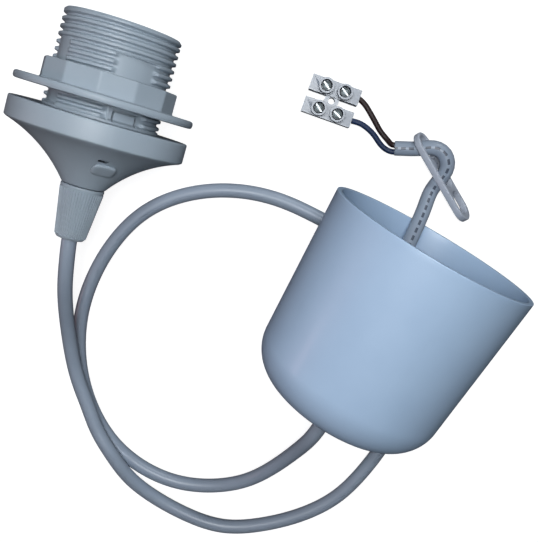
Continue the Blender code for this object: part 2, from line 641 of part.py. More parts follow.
def make_holder_terminal(bench, side, word, top):
    """A brass terminal under the carrier, its screw, and the core that it holds."""
    wide, deep, tall = TERMINAL_SIZE
    hold = holder_place()
    centre = Matrix.Translation((side * TERMINAL_OFFSET, 0.0, top - tall / 2.0))
    block = bench.add(f"holder_terminal_{word}", box_mesh("holder_terminal", TERMINAL_SIZE), "brass",
                      hold @ centre)
    bore = rod_mesh("wire_bore", TERMINAL_BORE, tall - CONTACT_SHEET)
    bench.cut(block, f"wire_bore_{word}", bore, Matrix.Translation((0.0, 0.0, -CONTACT_SHEET)))
    level = -tall / 2.0 + TERMINAL_SCREW_LEVEL
    flat = Matrix.Rotation(math.pi / 2.0, 4, "Y")
    reach = wide / 2.0 - TERMINAL_BORE
    hole = rod_mesh("screw_bore", TERMINAL_SCREW_RADIUS + GAP / 2.0, wide / 2.0 + CUT_MARGIN)
    place = Matrix.Translation((side * (wide / 2.0 + CUT_MARGIN) / 2.0, 0.0, level)) @ flat
    bench.cut(block, f"screw_bore_{word}", hole, place)
    shank = reach + GAP + TERMINAL_HEAD_HEIGHT / 2.0
    head_middle = wide / 2.0 + GAP + TERMINAL_HEAD_HEIGHT / 2.0
    shank_middle = TERMINAL_BORE + shank / 2.0
    screw = bench.add(f"holder_screw_{word}", rod_mesh("holder_screw", TERMINAL_SCREW_RADIUS, shank),
                      "nickel", hold @ centre @ Matrix.Translation((side * shank_middle, 0.0, level)) @ flat)
    head = rod_mesh("head", TERMINAL_SCREW_HEAD, TERMINAL_HEAD_HEIGHT)
    beyond = side * (head_middle - shank_middle)
    bench.join(screw, f"head_{word}", head, Matrix.Translation((0.0, 0.0, beyond)))
    across = 2.0 * (TERMINAL_SCREW_HEAD + CUT_MARGIN)
    slot = box_mesh("slot", (BLOCK_SLOT_WIDTH, across, 2.0 * BLOCK_SLOT_DEPTH))
    face = beyond + side * TERMINAL_HEAD_HEIGHT / 2.0
    bench.cut(screw, f"slot_{word}", slot, Matrix.Translation((0.0, 0.0, face)))
    sheath_end = CORD_ROUTE[0][1] + CORD_INSIDE
    tail = top - tall
    route = ((side * CORE_SPREAD, 0.0, sheath_end + 2.0 * GAP),
             (side * CORE_SPREAD, 0.0, sheath_end + 2.0 * GAP + CORE_DIAMETER / 2.0),
             (side * TERMINAL_OFFSET / 2.0, 0.0, (sheath_end + tail) / 2.0),
             (side * TERMINAL_OFFSET * CORE_FLARE, 0.0, tail - CORE_LEAD),
             (side * TERMINAL_OFFSET, 0.0, tail), (side * TERMINAL_OFFSET, 0.0, top - tall / 2.0))
    points = walked_route(route, CORE_STEP, CORE_SAG)
    core = tube_mesh("holder_core", points, CORE_DIAMETER, CORE_TUBE_STEPS)
    bench.add(f"holder_core_{word}", core, word, hold)


def make_cup(bench):
    """Ceiling cup: a tapered side, a round corner and a flat bottom with the cord's hole."""
    taper = math.radians(CUP_TAPER_DEG)
    foot_radius = CUP_RIM_RADIUS - CUP_STRAIGHT * math.tan(taper)
    centre = (foot_radius - CUP_CORNER_RADIUS * math.cos(taper),
              -CUP_STRAIGHT + CUP_CORNER_RADIUS * math.sin(taper))
    outer = arc_points(centre, CUP_CORNER_RADIUS, -CUP_TAPER_DEG, -90.0, CUP_CORNER_STEPS)
    inner = arc_points(centre, CUP_CORNER_RADIUS - CUP_WALL, -90.0, -CUP_TAPER_DEG, CUP_CORNER_STEPS)
    wall = CUP_WALL / math.cos(taper)
    profile = [(CUP_RIM_RADIUS, 0.0)]
    profile += outer
    profile += [(CUP_HOLE_RADIUS, centre[1] - CUP_CORNER_RADIUS),
                (CUP_HOLE_RADIUS, centre[1] - CUP_CORNER_RADIUS + CUP_WALL)]
    profile += inner
    profile += [(CUP_RIM_RADIUS - wall, 0.0)]
    bench.add("ceiling_cup", turned_mesh("ceiling_cup", profile, CUP_FACETS), "plastic", cup_place())


def make_cord(bench):
    """The sheath from inside the cap to its bare end, as one tube."""
    exit_point = np.array(CORD_ROUTE[0])
    inside = [exit_point + np.array((0.0, CORD_INSIDE * share, 0.0)) for share in (1.0, 0.5)]
    points = walked_route([tuple(point) for point in inside] + list(CORD_ROUTE), CORD_STEP, CORD_SAG)
    tube = tube_mesh("cord_sheath", points, CORD_DIAMETER, CORD_TUBE_STEPS)
    bench.add("cord_sheath", tube, "cord", Matrix.Identity(4))


def strap_place():
    """The strap's frame: X along it, Y across it, Z through its thickness."""
    turn = Matrix.Rotation(math.radians(STRAP_HEADING_DEG), 4, "Z")
    lean = Matrix.Rotation(-math.radians(90.0 - STRAP_LEAN_DEG), 4, "X")
    half = math.radians(STRAP_LEAN_DEG)
    height = STRAP_WIDTH / 2.0 * math.cos(half) + STRAP_THICKNESS / 2.0 * math.sin(half)
    return Matrix.Translation((*STRAP_CENTRE, height)) @ turn @ lean


def stadium(middle, stretch, radius):
    """A slot's outline: two half circles, stretched apart along X about its middle."""
    outline = arc_points((middle + stretch, 0.0), radius, -90.0, 90.0, SMALL_FACETS // 2)
    return outline + arc_points((middle - stretch, 0.0), radius, 90.0, 270.0, SMALL_FACETS // 2)


def make_strap(bench):
    """Flat strap with two slots for the cord and an eye, from a filled outline."""
    loops = [stadium(0.0, STRAP_LENGTH / 2.0 - STRAP_WIDTH / 2.0, STRAP_WIDTH / 2.0)]
    loops += [stadium(middle, STRAP_SLOT_STRETCH, STRAP_SLOT_RADIUS) for middle in STRAP_SLOTS]
    loops.append(stadium(STRAP_EYE, STRAP_EYE_STRETCH, STRAP_EYE_RADIUS))
    curve = bpy.data.curves.new("hanger_strap", "CURVE")
    curve.dimensions = "2D"
    curve.fill_mode = "BOTH"
    curve.extrude = STRAP_THICKNESS / 2.0
    for loop in loops:
        spline = curve.splines.new("POLY")
        spline.points.add(len(loop) - 1)
        spline.use_cyclic_u = True
        for knot, point in zip(spline.points, loop):
            knot.co = (*point, 0.0, 1.0)
    holder = bpy.data.objects.new("hanger_strap_outline", curve)
    bpy.context.scene.collection.objects.link(holder)
    mesh = evaluated_mesh(holder)
    bpy.data.objects.remove(holder, do_unlink=True)
    bench.add("hanger_strap", mesh, "plastic", strap_place())


def block_place():
    """The terminal block's frame: X along the poles, Z up from the table."""
    turn = Matrix.Rotation(math.radians(BLOCK_TURN_DEG), 4, "Z")
    return Matrix.Translation((*BLOCK_CENTRE, 0.0)) @ turn


def make_block(bench):
    """Two-pole terminal block with its inserts and screws."""
    place = block_place()
    pole = box_mesh("pole", (POLE_LENGTH, POLE_WIDTH, POLE_HEIGHT), POLE_EDGE)
    body = bench.add("terminal_block", pole, "clear",
                     place @ Matrix.Translation((0.0, POLE_PITCH / 2.0, POLE_HEIGHT / 2.0)))
    middle = Matrix.Translation((0.0, -POLE_PITCH / 2.0, -POLE_HEIGHT / 2.0))
    other = box_mesh("pole", (POLE_LENGTH, POLE_WIDTH, POLE_HEIGHT), POLE_EDGE)
    bench.join(body, "other_pole", other, Matrix.Translation((0.0, -POLE_PITCH, 0.0)))
    web = rod_mesh("web", WEB_RADIUS, WEB_HEIGHT)
    bench.join(body, "web", web, middle @ Matrix.Translation((0.0, 0.0, WEB_HEIGHT / 2.0)))
    towers = [(side * SCREW_SPACING / 2.0, row * POLE_PITCH / 2.0) for row in (1, -1) for side in (-1, 1)]
    for index, (along, across) in enumerate(towers):
        tall = TOWER_HEIGHT - POLE_HEIGHT / 2.0
        tower = rod_mesh("tower", TOWER_RADIUS, tall)
        bench.join(body, f"tower_{index}", tower,
                   middle @ Matrix.Translation((along, across, TOWER_HEIGHT - tall / 2.0)))
    hole = rod_mesh("web_hole", WEB_HOLE_RADIUS, 2.0 * WEB_HEIGHT + CUT_MARGIN)
    bench.cut(body, "web_hole", hole, middle @ Matrix.Translation((0.0, 0.0, WEB_HEIGHT / 2.0)))
    along_x = Matrix.Rotation(math.pi / 2.0, 4, "Y")
    for row, word in ((1.0, "brown"), (-1.0, "blue")):
        across = row * POLE_PITCH / 2.0
        bore = rod_mesh("wire_bore", WIRE_BORE_RADIUS, POLE_LENGTH + CUT_MARGIN)
        bench.cut(body, f"bore_{word}", bore,
                  middle @ Matrix.Translation((0.0, across, WIRE_LEVEL)) @ along_x)
        insert = bench.add(f"insert_{word}", rod_mesh("insert", INSERT_RADIUS, INSERT_LENGTH), "nickel",
                           place @ Matrix.Translation((0.0, across, WIRE_LEVEL)) @ along_x)
        tunnel = rod_mesh("insert_bore", INSERT_BORE, INSERT_LENGTH + CUT_MARGIN)
        bench.cut(insert, f"insert_bore_{word}", tunnel, Matrix.Identity(4))
    head = TOWER_HEIGHT - BLOCK_SCREW_SINK
    shank = head - WIRE_LEVEL - INSERT_RADIUS - GAP
    for index, (along, across) in enumerate(towers):
        well_low = WIRE_LEVEL + INSERT_RADIUS / 2.0
        well = rod_mesh("well", SCREW_WELL_RADIUS, TOWER_HEIGHT + CUT_MARGIN - well_low)
        bench.cut(body, f"well_{index}", well,
                  middle @ Matrix.Translation((along, across, (TOWER_HEIGHT + CUT_MARGIN + well_low) / 2.0)))
        screw = bench.add(f"block_screw_{index + 1}", rod_mesh("screw", BLOCK_SCREW_RADIUS, shank),
                          "nickel", place @ Matrix.Translation((along, across, head - shank / 2.0)))
        across_head = 2.0 * (BLOCK_SCREW_RADIUS + CUT_MARGIN)
        slot = box_mesh("slot", (across_head, BLOCK_SLOT_WIDTH, 2.0 * BLOCK_SLOT_DEPTH))
        turn = Matrix.Rotation(math.radians(BLOCK_SLOT_TURNS[index]), 4, "Z")
        bench.cut(screw, f"slot_{index}", slot, Matrix.Translation((0.0, 0.0, shank / 2.0)) @ turn)


def make_cores(bench):
    """Brown and blue cores from the sheath's end into the terminal block."""
    end = Vector(CORD_ROUTE[-1])
    ahead = (end - Vector(CORD_ROUTE[-2])).normalized()
    across = Vector((-ahead.y, ahead.x, 0.0)).normalized()
    place = block_place()
    for side, word, route in ((-1.0, "brown", BROWN_ROUTE), (1.0, "blue", BLUE_ROUTE)):
        start = end + ahead * GAP + across * side * CORE_SPREAD
        lead = start + ahead * CORE_DIAMETER / 2.0
        row = -side * POLE_PITCH / 2.0
        mouth = place @ Vector((POLE_LENGTH / 2.0, row, WIRE_LEVEL))
        inside = place @ Vector((POLE_LENGTH / 2.0 - CORE_BACK, row, WIRE_LEVEL))
        points = [tuple(start), tuple(lead), *route, tuple(mouth), tuple(inside)]
        walked = walked_route(points, CORE_STEP, CORE_SAG)
        core = tube_mesh("core", walked, CORE_DIAMETER, CORE_TUBE_STEPS)
        bench.add(f"core_{word}", core, word, Matrix.Identity(4))


def centre_on_footprint(bench):
    """Move the empty so that the origin is under the middle of the holder and the cup."""
    bpy.context.view_layer.update()
    graph = bpy.context.evaluated_depsgraph_get()
    corners = []
    for part in bench.parts.objects:
        if part.type != "MESH" or part.name in CORD_PIECES:
            continue
        shown = part.evaluated_get(graph)
        corners += [shown.matrix_world @ vert.co for vert in shown.data.vertices]
    middle = [(min(point[axis] for point in corners) + max(point[axis] for point in corners)) / 2.0
              for axis in range(2)]
    bench.origin.location = (-middle[0], -middle[1], 0.0)
    bpy.context.view_layer.update()


def main():
    """Build every piece of the pendant cord set."""
    clear_scene()
    bench = Bench()
    make_cap(bench)
    make_sleeve(bench)
    make_ring(bench)
    make_grip(bench)
    make_insides(bench)
    make_cup(bench)
    make_cord(bench)
    make_strap(bench)
    make_block(bench)
    make_cores(bench)
    centre_on_footprint(bench)


main()
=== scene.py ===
"""Pendant cord set: the looks of every piece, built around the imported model.

The lampholder, the shade ring, the grip nut and the ceiling cup are turned shells with the real
piece's thread, strips, latch and ribs. The cord is one smooth tube that carries the hanger strap, the
bare cores and the terminal block. Sizes are metres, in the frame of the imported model.
"""

import logging
import math
from dataclasses import dataclass
from enum import Enum
from typing import Callable, Sequence

import bmesh
import bpy
import numpy as np
from mathutils import Matrix, Vector


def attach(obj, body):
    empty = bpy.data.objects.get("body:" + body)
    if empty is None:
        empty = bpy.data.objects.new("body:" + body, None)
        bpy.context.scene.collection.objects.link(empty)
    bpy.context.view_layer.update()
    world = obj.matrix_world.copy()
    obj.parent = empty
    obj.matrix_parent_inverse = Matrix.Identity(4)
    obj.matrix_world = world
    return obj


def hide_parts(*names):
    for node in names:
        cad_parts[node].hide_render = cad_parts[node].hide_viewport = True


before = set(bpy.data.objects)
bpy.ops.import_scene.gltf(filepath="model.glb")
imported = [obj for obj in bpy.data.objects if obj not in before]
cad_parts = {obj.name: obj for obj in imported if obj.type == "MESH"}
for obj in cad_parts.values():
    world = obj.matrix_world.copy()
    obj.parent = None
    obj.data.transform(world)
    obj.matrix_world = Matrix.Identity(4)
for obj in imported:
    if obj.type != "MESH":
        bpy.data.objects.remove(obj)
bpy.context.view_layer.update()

LOG = logging.getLogger("pendant_cord_set")
BENCH = Vector((-0.062523, 0.022755, 0.0))    # from the bench, where sizes were read, to the row frame
GAP = 0.0003                        # clearance between pieces that touch
EDGE = 0.0003                       # how far a plain soft edge reaches
FINE_EDGE = 0.0002
SAME_PLACE = 1e-7                   # points closer than this are one
SMOOTH_ANGLE = math.radians(32.0)   # edges up to this angle are shaded smooth
STRAIGHT = math.radians(89.0)       # a corner counts as straight from twice this angle
ROUNDING_STEPS = 4
ROUNDING_SHARE = 0.45               # the most of a side that a rounding takes
ROD_FACETS = 48
PILLOW_FACETS = (40, 24)
PILLOW_POWER = 0.55                 # below 1, a ball nears a block
WHITE = (1.0, 1.0, 1.0, 1.0)

DASHES_FROM = 0.66        # where the cord's printed dashes begin, from its hidden end
DASH_PITCH = 0.0031
DASH_LENGTH = 0.0019
DASH_HALF_WIDTH = 0.028   # as a share of the way around
TUBE_TOP = 0.75           # a tube's top, as a share of the way around
INK = (44, 50, 66)
INK_WEIGHT = 0.8
# Painted shade: the darker colour painted on the screw heads' tops, above their paler slots.
HEAD_SHADE_COLOUR = (104, 112, 114)

Socket = bpy.types.NodeSocket
Sockets = bpy.types.NodeOutputs
Pair = tuple[float, float]
Triple = tuple[float, float, float]
Colour = tuple[float, float, float, float]
Profile = list[Pair]


class Body(Enum):
    """The two rigid bodies of the set."""

    SET = "holder_and_cord"
    RING = "shade_ring"


class Slot(Enum):
    """The record's material slots."""

    PLASTIC = "white_plastic"
    CORD = "cord_pvc"
    NYLON = "block_nylon"
    BROWN = "brown_core"
    BLUE = "blue_core"
    NICKEL = "nickel"
    BRASS = "brass"


def tint(red: float, green: float, blue: float) -> Colour:
    """Turn a colour written in 0 to 255 display steps into linear light.

    Args:
        red, green, blue: The colour as a screen shows it.

    Returns:
        The linear colour with an alpha of 1.
    """
    linear = [(step / 255.0) ** 2.2 for step in (red, green, blue)]
    return (*linear, 1.0)


def socket_kind(label: str, value: object) -> str:
    """Choose the class of a group's socket.

    Args:
        label: The socket's name.
        value: Its default.

    Returns:
        The class that the name stands for, or else that of the default's type.
    """
    named = {"Geometry": "Geometry", "Material": "Material", "Vector": "Vector", "Normal": "Vector"}
    return "NodeSocket" + named.get(label, "Int" if isinstance(value, int) else "Float")


class Graph:
    """Short calls for adding, setting and joining the nodes of one tree."""

    def __init__(self, tree: bpy.types.NodeTree) -> None:
        """Keep the tree that the calls work on."""
        self.tree = tree

    @classmethod
    def group(cls, name: str, kind: str, inputs: dict[str, object], result: str
              ) -> tuple["Graph", Sockets, Socket]:
        """Start a node group that has one output.

        Args:
            name: The group's name.
            kind: The class of its tree.
            inputs: Each input's default, by name; None where a socket has none.
            result: The output's name.

        Returns:
            The group's graph, its inputs by name, and the socket that takes its result.
        """
        tree = bpy.data.node_groups.new(name, kind)
        for label, value in inputs.items():
            sort = socket_kind(label, value)
            socket = tree.interface.new_socket(label, in_out="INPUT", socket_type=sort)
            if value is not None:
                socket.default_value = value
        tree.interface.new_socket(result, in_out="OUTPUT", socket_type=socket_kind(result, None))
        graph = cls(tree)
        return graph, graph.add("NodeGroupInput").outputs, graph.add("NodeGroupOutput").inputs[result]

    def add(self, kind: str, inputs: dict | None = None, **settings: object) -> bpy.types.Node:
        """Add a node.

        Args:
            kind: The node's class name.
            inputs: Values or output sockets, by input name or number.
            settings: Properties of the node itself.

        Returns:
            The new node.
        """
        made = self.tree.nodes.new(kind)
        for name, value in settings.items():
            setattr(made, name, value)
        self.fill(made, inputs or {})
        return made

    def out(self, kind: str, inputs: dict | None = None, **settings: object) -> Socket:
        """Add a node as add() does, and return its first output."""
        return self.add(kind, inputs, **settings).outputs[0]

    def fill(self, node: bpy.types.Node, inputs: dict) -> None:
        """Join or set a node's inputs, by name or number."""
        for name, value in inputs.items():
            self.feed(node.inputs[name], value)

    def feed(self, socket: Socket, value: object) -> None:
        """Join an output socket to an input, or set the input's own value.

        Args:
            socket: The input.
            value: An output socket, or a plain value.
        """
        if isinstance(value, Socket):
            self.tree.links.new(value, socket)
        else:
            socket.default_value = value

    def maths(self, operation: str, *values: object, clamp: bool = False) -> Socket:
        """Add a Math node on its values and return its result."""
        return self.out("ShaderNodeMath", dict(enumerate(values)), operation=operation, use_clamp=clamp)

    def blend(self, share: Socket, low: object, high: object) -> Socket:
        """Mix two colours by a share, from the low one at 0 to the high one at 1."""
        return self.add("ShaderNodeMix", {"Factor": share, 6: low, 7: high}, data_type="RGBA").outputs[2]


class Effects:
    """Shader groups that several finishes share. Each is built once."""

    @staticmethod
    def use(graph: Graph, effect: Callable[[], bpy.types.NodeTree], inputs: dict) -> Socket:
        """Place a shared group in a material with its own values.

        Args:
            graph: The material's graph.
            effect: The method that builds the group.
            inputs: Values or output sockets, by the group's input names.

        Returns:
            The group's result.
        """
        tree = bpy.data.node_groups.get(effect.__name__) or effect()
        return graph.out("ShaderNodeGroup", inputs, node_tree=tree)

    @staticmethod
    def mottle() -> bpy.types.NodeTree:
        """Cloudy variation over a surface, as a mask from 0 to 1 about one half.

        Returns:
            The group.
        """
        graph, given, result = Graph.group(
            "mottle", "ShaderNodeTree", {"Vector": None, "Scale": 60.0, "Contrast": 1.0}, "Mask")
        cloud = graph.out("ShaderNodeTexNoise", {
            "Vector": given["Vector"], "Scale": given["Scale"], "Detail": 4.0, "Roughness": 0.55})
        centred = graph.maths("SUBTRACT", cloud, 0.5)
        scaled = graph.maths("MULTIPLY", centred, given["Contrast"])
        graph.feed(result, graph.maths("ADD", scaled, 0.5, clamp=True))
        return graph.tree

    @staticmethod
    def grain() -> bpy.types.NodeTree:
        """Fine moulded or extruded texture, as a normal.

        Returns:
            The group.
        """
        graph, given, result = Graph.group(
            "grain", "ShaderNodeTree", {"Vector": None, "Scale": 900.0, "Strength": 0.1, "Depth": 0.0001},
            "Normal")
        fine = graph.out("ShaderNodeTexNoise", {
            "Vector": given["Vector"], "Scale": given["Scale"], "Detail": 3.0, "Roughness": 0.6})
        broad_scale = graph.maths("MULTIPLY", given["Scale"], 0.11)
        broad = graph.out("ShaderNodeTexNoise", {
            "Vector": given["Vector"], "Scale": broad_scale, "Detail": 2.0})
        height = graph.maths("MULTIPLY_ADD", broad, 0.6, fine)
        graph.feed(result, graph.out("ShaderNodeBump", {
            "Strength": given["Strength"], "Distance": given["Depth"], "Height": height}))
        return graph.tree

    @staticmethod
    def scuffs() -> bpy.types.NodeTree:
        """Sparse hairline handling marks, as a mask that is mostly 0.

        Returns:
            The group.
        """
        graph, given, result = Graph.group(
            "scuffs", "ShaderNodeTree", {"Vector": None, "Scale": 300.0, "Amount": 0.2}, "Mask")
        stretched = graph.out("ShaderNodeMapping", {
            "Vector": given["Vector"], "Rotation": (0.3, 0.5, 0.8), "Scale": (1.0, 0.08, 1.0)})
        streak = graph.out("ShaderNodeTexNoise", {
            "Vector": stretched, "Scale": given["Scale"], "Detail": 5.0, "Roughness": 0.7})
        sparse = graph.out("ShaderNodeMapRange", {
            "Value": streak, "From Min": 0.62, "From Max": 0.78, "To Min": 0.0, "To Max": 1.0})
        graph.feed(result, graph.maths("MULTIPLY", sparse, given["Amount"]))
        return graph.tree


@dataclass(frozen=True)
class Finish:
    """One surface: its colour, gloss and fine texture.

    Attributes:
        name: The material's name.
        slot: The record's slot that its pieces belong to; not used.
        deep, pale: The colour's two ends, in display steps from 0 to 255.
        roughness: Middle roughness.
        spread: How far roughness moves either side of it.
        grain_size: Size of the fine texture, in metres.
        grain_depth: Depth of the fine texture, in metres.
        scuffed: Strength of the handling marks.
        metallic, transmission, coat: Weights of those parts of the surface.
        ior: Index of refraction.
        printed: Whether plain dashes run along the end of it.
        painted_shade_above: Height above the table from which the colour is painted darker as painted
            shade; 0 for nowhere.
    """

    name: str
    slot: Slot
    deep: Triple
    pale: Triple
    roughness: float
    spread: float = 0.06
    grain_size: float = 0.0009
    grain_depth: float = 0.00003
    scuffed: float = 0.15
    metallic: float = 0.0
    transmission: float = 0.0
    coat: float = 0.0
    ior: float = 1.48
    printed: bool = False
    painted_shade_above: float = 0.0

    def build(self) -> bpy.types.Material:
        """Make the material, or find it if it is there.

        Returns:
            The material.
        """
        found = bpy.data.materials.get(self.name)
        if found:
            return found
        made = bpy.data.materials.new(self.name)
        made.use_nodes = True
        graph = Graph(made.node_tree)
        place = graph.add("ShaderNodeTexCoord").outputs["Object"]
        mottle = Effects.use(graph, Effects.mottle, {"Vector": place, "Scale": 70.0, "Contrast": 1.5})
        grain = Effects.use(graph, Effects.grain, {
            "Vector": place, "Scale": 1.0 / self.grain_size, "Strength": 0.35, "Depth": self.grain_depth})
        scuffs = Effects.use(graph, Effects.scuffs, {"Vector": place, "Amount": self.scuffed})
        colour = graph.blend(mottle, tint(*self.deep), tint(*self.pale))
        if self.printed:
            colour = self._dashes(graph, colour)
        # Painted shade: a darker colour above a set height, on the screw heads' tops.
        if self.painted_shade_above:
            colour = self._painted_head_shade(graph, place, colour)
        rough = graph.maths("MULTIPLY_ADD", mottle, 2.0 * self.spread, self.roughness - self.spread)
        graph.fill(made.node_tree.nodes["Principled BSDF"], {
            "Base Color": colour, "Roughness": graph.maths("MULTIPLY_ADD", scuffs, 0.3, rough),
            "Normal": grain, "Metallic": self.metallic, "Transmission Weight": self.transmission,
            "Coat Weight": self.coat, "Coat Roughness": 0.12, "IOR": self.ior})
        return made

    @staticmethod
    def _dashes(graph: Graph, below: Socket) -> Socket:
        """Lay plain printed dashes over a colour, along the top of the cord's last stretch.

        Args:
            graph: The material's graph.
            below: The colour under them.

        Returns:
            The colour with the dashes.
        """
        along = graph.out("ShaderNodeUVMap", uv_map="along")
        spot = graph.add("ShaderNodeSeparateXYZ", {0: along}).outputs
        begun = graph.maths("GREATER_THAN", spot[0], DASHES_FROM)
        dash = graph.maths("LESS_THAN", graph.maths("FLOORED_MODULO", spot[0], DASH_PITCH), DASH_LENGTH)
        aside = graph.maths("ABSOLUTE", graph.maths("SUBTRACT", spot[1], TUBE_TOP))
        narrow = graph.maths("LESS_THAN", aside, DASH_HALF_WIDTH)
        inked = graph.maths("MULTIPLY", graph.maths("MULTIPLY", begun, dash), narrow)
        return graph.blend(graph.maths("MULTIPLY", inked, INK_WEIGHT), below, tint(*INK))

    def _painted_head_shade(self, graph: Graph, place: Socket, below: Socket) -> Socket:
        """Paint a colour darker above the finish's own height: painted shade on the screw heads' tops,
        whose slots keep the paler colour as a painted highlight.
        """
        height = graph.add("ShaderNodeSeparateXYZ", {0: place}).outputs[2]
        return graph.blend(graph.maths("GREATER_THAN", height, self.painted_shade_above), below,
                           tint(*HEAD_SHADE_COLOUR))


HOLDER_PLASTIC = Finish("holder_plastic", Slot.PLASTIC, (149, 162, 173), (159, 171, 181), 0.46,
                        scuffed=0.25)
CUP_PLASTIC = Finish("cup_plastic", Slot.PLASTIC, (160, 184, 211), (166, 190, 216), 0.42, 0.04,
                     grain_size=0.0014, grain_depth=0.00002, coat=0.05)
STRAP_PLASTIC = Finish("strap_plastic", Slot.PLASTIC, (166, 173, 186), (174, 181, 193), 0.46)
CORD_SKIN = Finish("cord_skin", Slot.CORD, (139, 151, 167), (148, 160, 175), 0.38, 0.08,
                   grain_size=0.0006, scuffed=0.35, printed=True)
CLEAR_NYLON = Finish("clear_nylon", Slot.NYLON, (142, 151, 164), (166, 174, 185), 0.34,
                     transmission=0.35, ior=1.5)
BROWN_SKIN = Finish("brown_skin", Slot.BROWN, (32, 15, 15), (44, 23, 21), 0.55, scuffed=0.1)
BLUE_SKIN = Finish("blue_skin", Slot.BLUE, (13, 36, 68), (20, 46, 82), 0.55, scuffed=0.1)
NICKEL = Finish("nickel_plate", Slot.NICKEL, (112, 119, 122), (140, 146, 148), 0.48, metallic=1.0,
                grain_size=0.0005)
# The screws' pale colours stay in their slots as a painted highlight; their head tops above 11.6 mm are
# painted darker as painted shade.
SCREW_STEEL = Finish("screw_steel", Slot.NICKEL, (196, 200, 201), (216, 219, 220), 0.42,
                     metallic=0.35, grain_size=0.0005, painted_shade_above=0.0116)
BRASS = Finish("brass_sheet", Slot.BRASS, (186, 150, 88), (206, 172, 108), 0.30, 0.10, metallic=1.0,
               grain_size=0.0005)


class Workshop:
    """Makes meshes into finished pieces of the set."""

    @staticmethod
    def mesh_from(bm: bmesh.types.BMesh, name: str, place: Matrix | None = None) -> bpy.types.Mesh:
        """Close a bmesh into a mesh with outward faces, at its place in the row frame.

        Args:
            bm: The shape; it is freed.
            name: The mesh's name.
            place: Where the shape goes, if it isn't there yet.

        Returns:
            The mesh.
        """
        bmesh.ops.remove_doubles(bm, verts=bm.verts, dist=SAME_PLACE)
        bmesh.ops.recalc_face_normals(bm, faces=bm.faces)
        if place is not None:
            bm.transform(place)
        mesh = bpy.data.meshes.new(name)
        bm.to_mesh(mesh)
        bm.free()
        return mesh

    @staticmethod
    def loose(name: str, shape: bpy.types.Mesh | bpy.types.Curve) -> bpy.types.Object:
        """Link a mesh or a curve into the scene as an object that isn't a piece yet."""
        made = bpy.data.objects.new(name, shape)
        bpy.context.scene.collection.objects.link(made)
        return made

    @staticmethod
    def settled(item: bpy.types.Object) -> bpy.types.Mesh:
        """Make a plain mesh of an object as its modifiers or its curve show it."""
        graph = bpy.context.evaluated_depsgraph_get()
        graph.update()
        return bpy.data.meshes.new_from_object(item.evaluated_get(graph))

    @classmethod
    def settle(cls, item: bpy.types.Object) -> None:
        """Turn an object's modifiers into its mesh and remove them."""
        mesh = cls.settled(item)
        item.modifiers.clear()
        item.data = mesh

    @classmethod
    def combine(cls, item: bpy.types.Object, operation: str, *tools: bpy.types.Mesh) -> None:
        """Cut or join meshes into an object, and leave it a plain mesh.

        Args:
            item: The object to work on.
            operation: DIFFERENCE or UNION.
            tools: Meshes in the same coordinates.
        """
        helpers = []
        for number, tool in enumerate(tools):
            helper = cls.loose(f"{item.name}_tool_{number}", tool)
            step = item.modifiers.new(helper.name, "BOOLEAN")
            step.operation = operation
            step.solver = "EXACT"
            step.object = helper
            helpers.append(helper)
        cls.settle(item)
        for helper in helpers:
            bpy.data.objects.remove(helper, do_unlink=True)

    @classmethod
    def soften(cls, item: bpy.types.Object, width: float, segments: int = 2) -> None:
        """Round an object's sharp edges and leave it a plain mesh.

        Args:
            item: The object.
            width: Width of the rounding.
            segments: Its number of steps.
        """
        bevel = item.modifiers.new("soft_edges", "BEVEL")
        bevel.width = width
        bevel.segments = segments
        bevel.limit_method = "ANGLE"
        bevel.angle_limit = SMOOTH_ANGLE
        bevel.use_clamp_overlap = True
        cls.settle(item)

    @staticmethod
    def finish(item: bpy.types.Object, look: Finish, *stands_for: str, body: Body = Body.SET
               ) -> bpy.types.Object:
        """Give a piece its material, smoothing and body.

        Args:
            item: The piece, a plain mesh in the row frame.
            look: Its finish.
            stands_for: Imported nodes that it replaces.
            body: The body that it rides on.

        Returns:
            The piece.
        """
        mesh = item.data
        mesh.materials.clear()
        mesh.materials.append(look.build())
        mesh.shade_smooth()
        mesh.set_sharp_from_angle(angle=SMOOTH_ANGLE)
        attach(item, body.value)
        if stands_for:
            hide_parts(*stands_for)
        LOG.info("%s: %d faces, %s", item.name, len(mesh.polygons), look.name)
        return item

    @staticmethod
    def dress(look: Finish, *nodes: str) -> list[bpy.types.Object]:
        """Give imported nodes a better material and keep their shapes.

        Args:
            look: Their finish.
            nodes: Their names.

        Returns:
            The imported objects.
        """
        dressed = [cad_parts[node] for node in nodes]
        for item in dressed:
            for holder in item.material_slots:
                holder.material = look.build()
            LOG.info("%s: packed shape, %s", item.name, look.name)
        return dressed


def turned(name: str, rows: Sequence[tuple], segments: int, place: Matrix) -> bpy.types.Object:
    """Close rows of points around the Z axis into a shell.

    Args:
        name: The shell's name.
        rows: Pairs of radius and height; each is a number or an array with one value for each segment.
        segments: Points in a row.
        place: Where the shell goes.

    Returns:
        The shell, which isn't a piece yet.
    """
    turns = np.arange(segments) / segments * math.tau
    points = [np.stack((radius * np.cos(turns), radius * np.sin(turns),
                        np.broadcast_to(height, turns.shape)), axis=1) for radius, height in rows]
    faces = []
    for row in range(len(rows)):
        low, high = row * segments, (row + 1) % len(rows) * segments
        for step in range(segments):
            ahead = (step + 1) % segments
            faces.append((low + step, low + ahead, high + ahead, high + step))
    mesh = bpy.data.meshes.new(name)
    mesh.from_pydata(np.concatenate(points).tolist(), [], faces)
    bm = bmesh.new()
    bm.from_mesh(mesh)
    bpy.data.meshes.remove(mesh)
    return Workshop.loose(name, Workshop.mesh_from(bm, name, place))


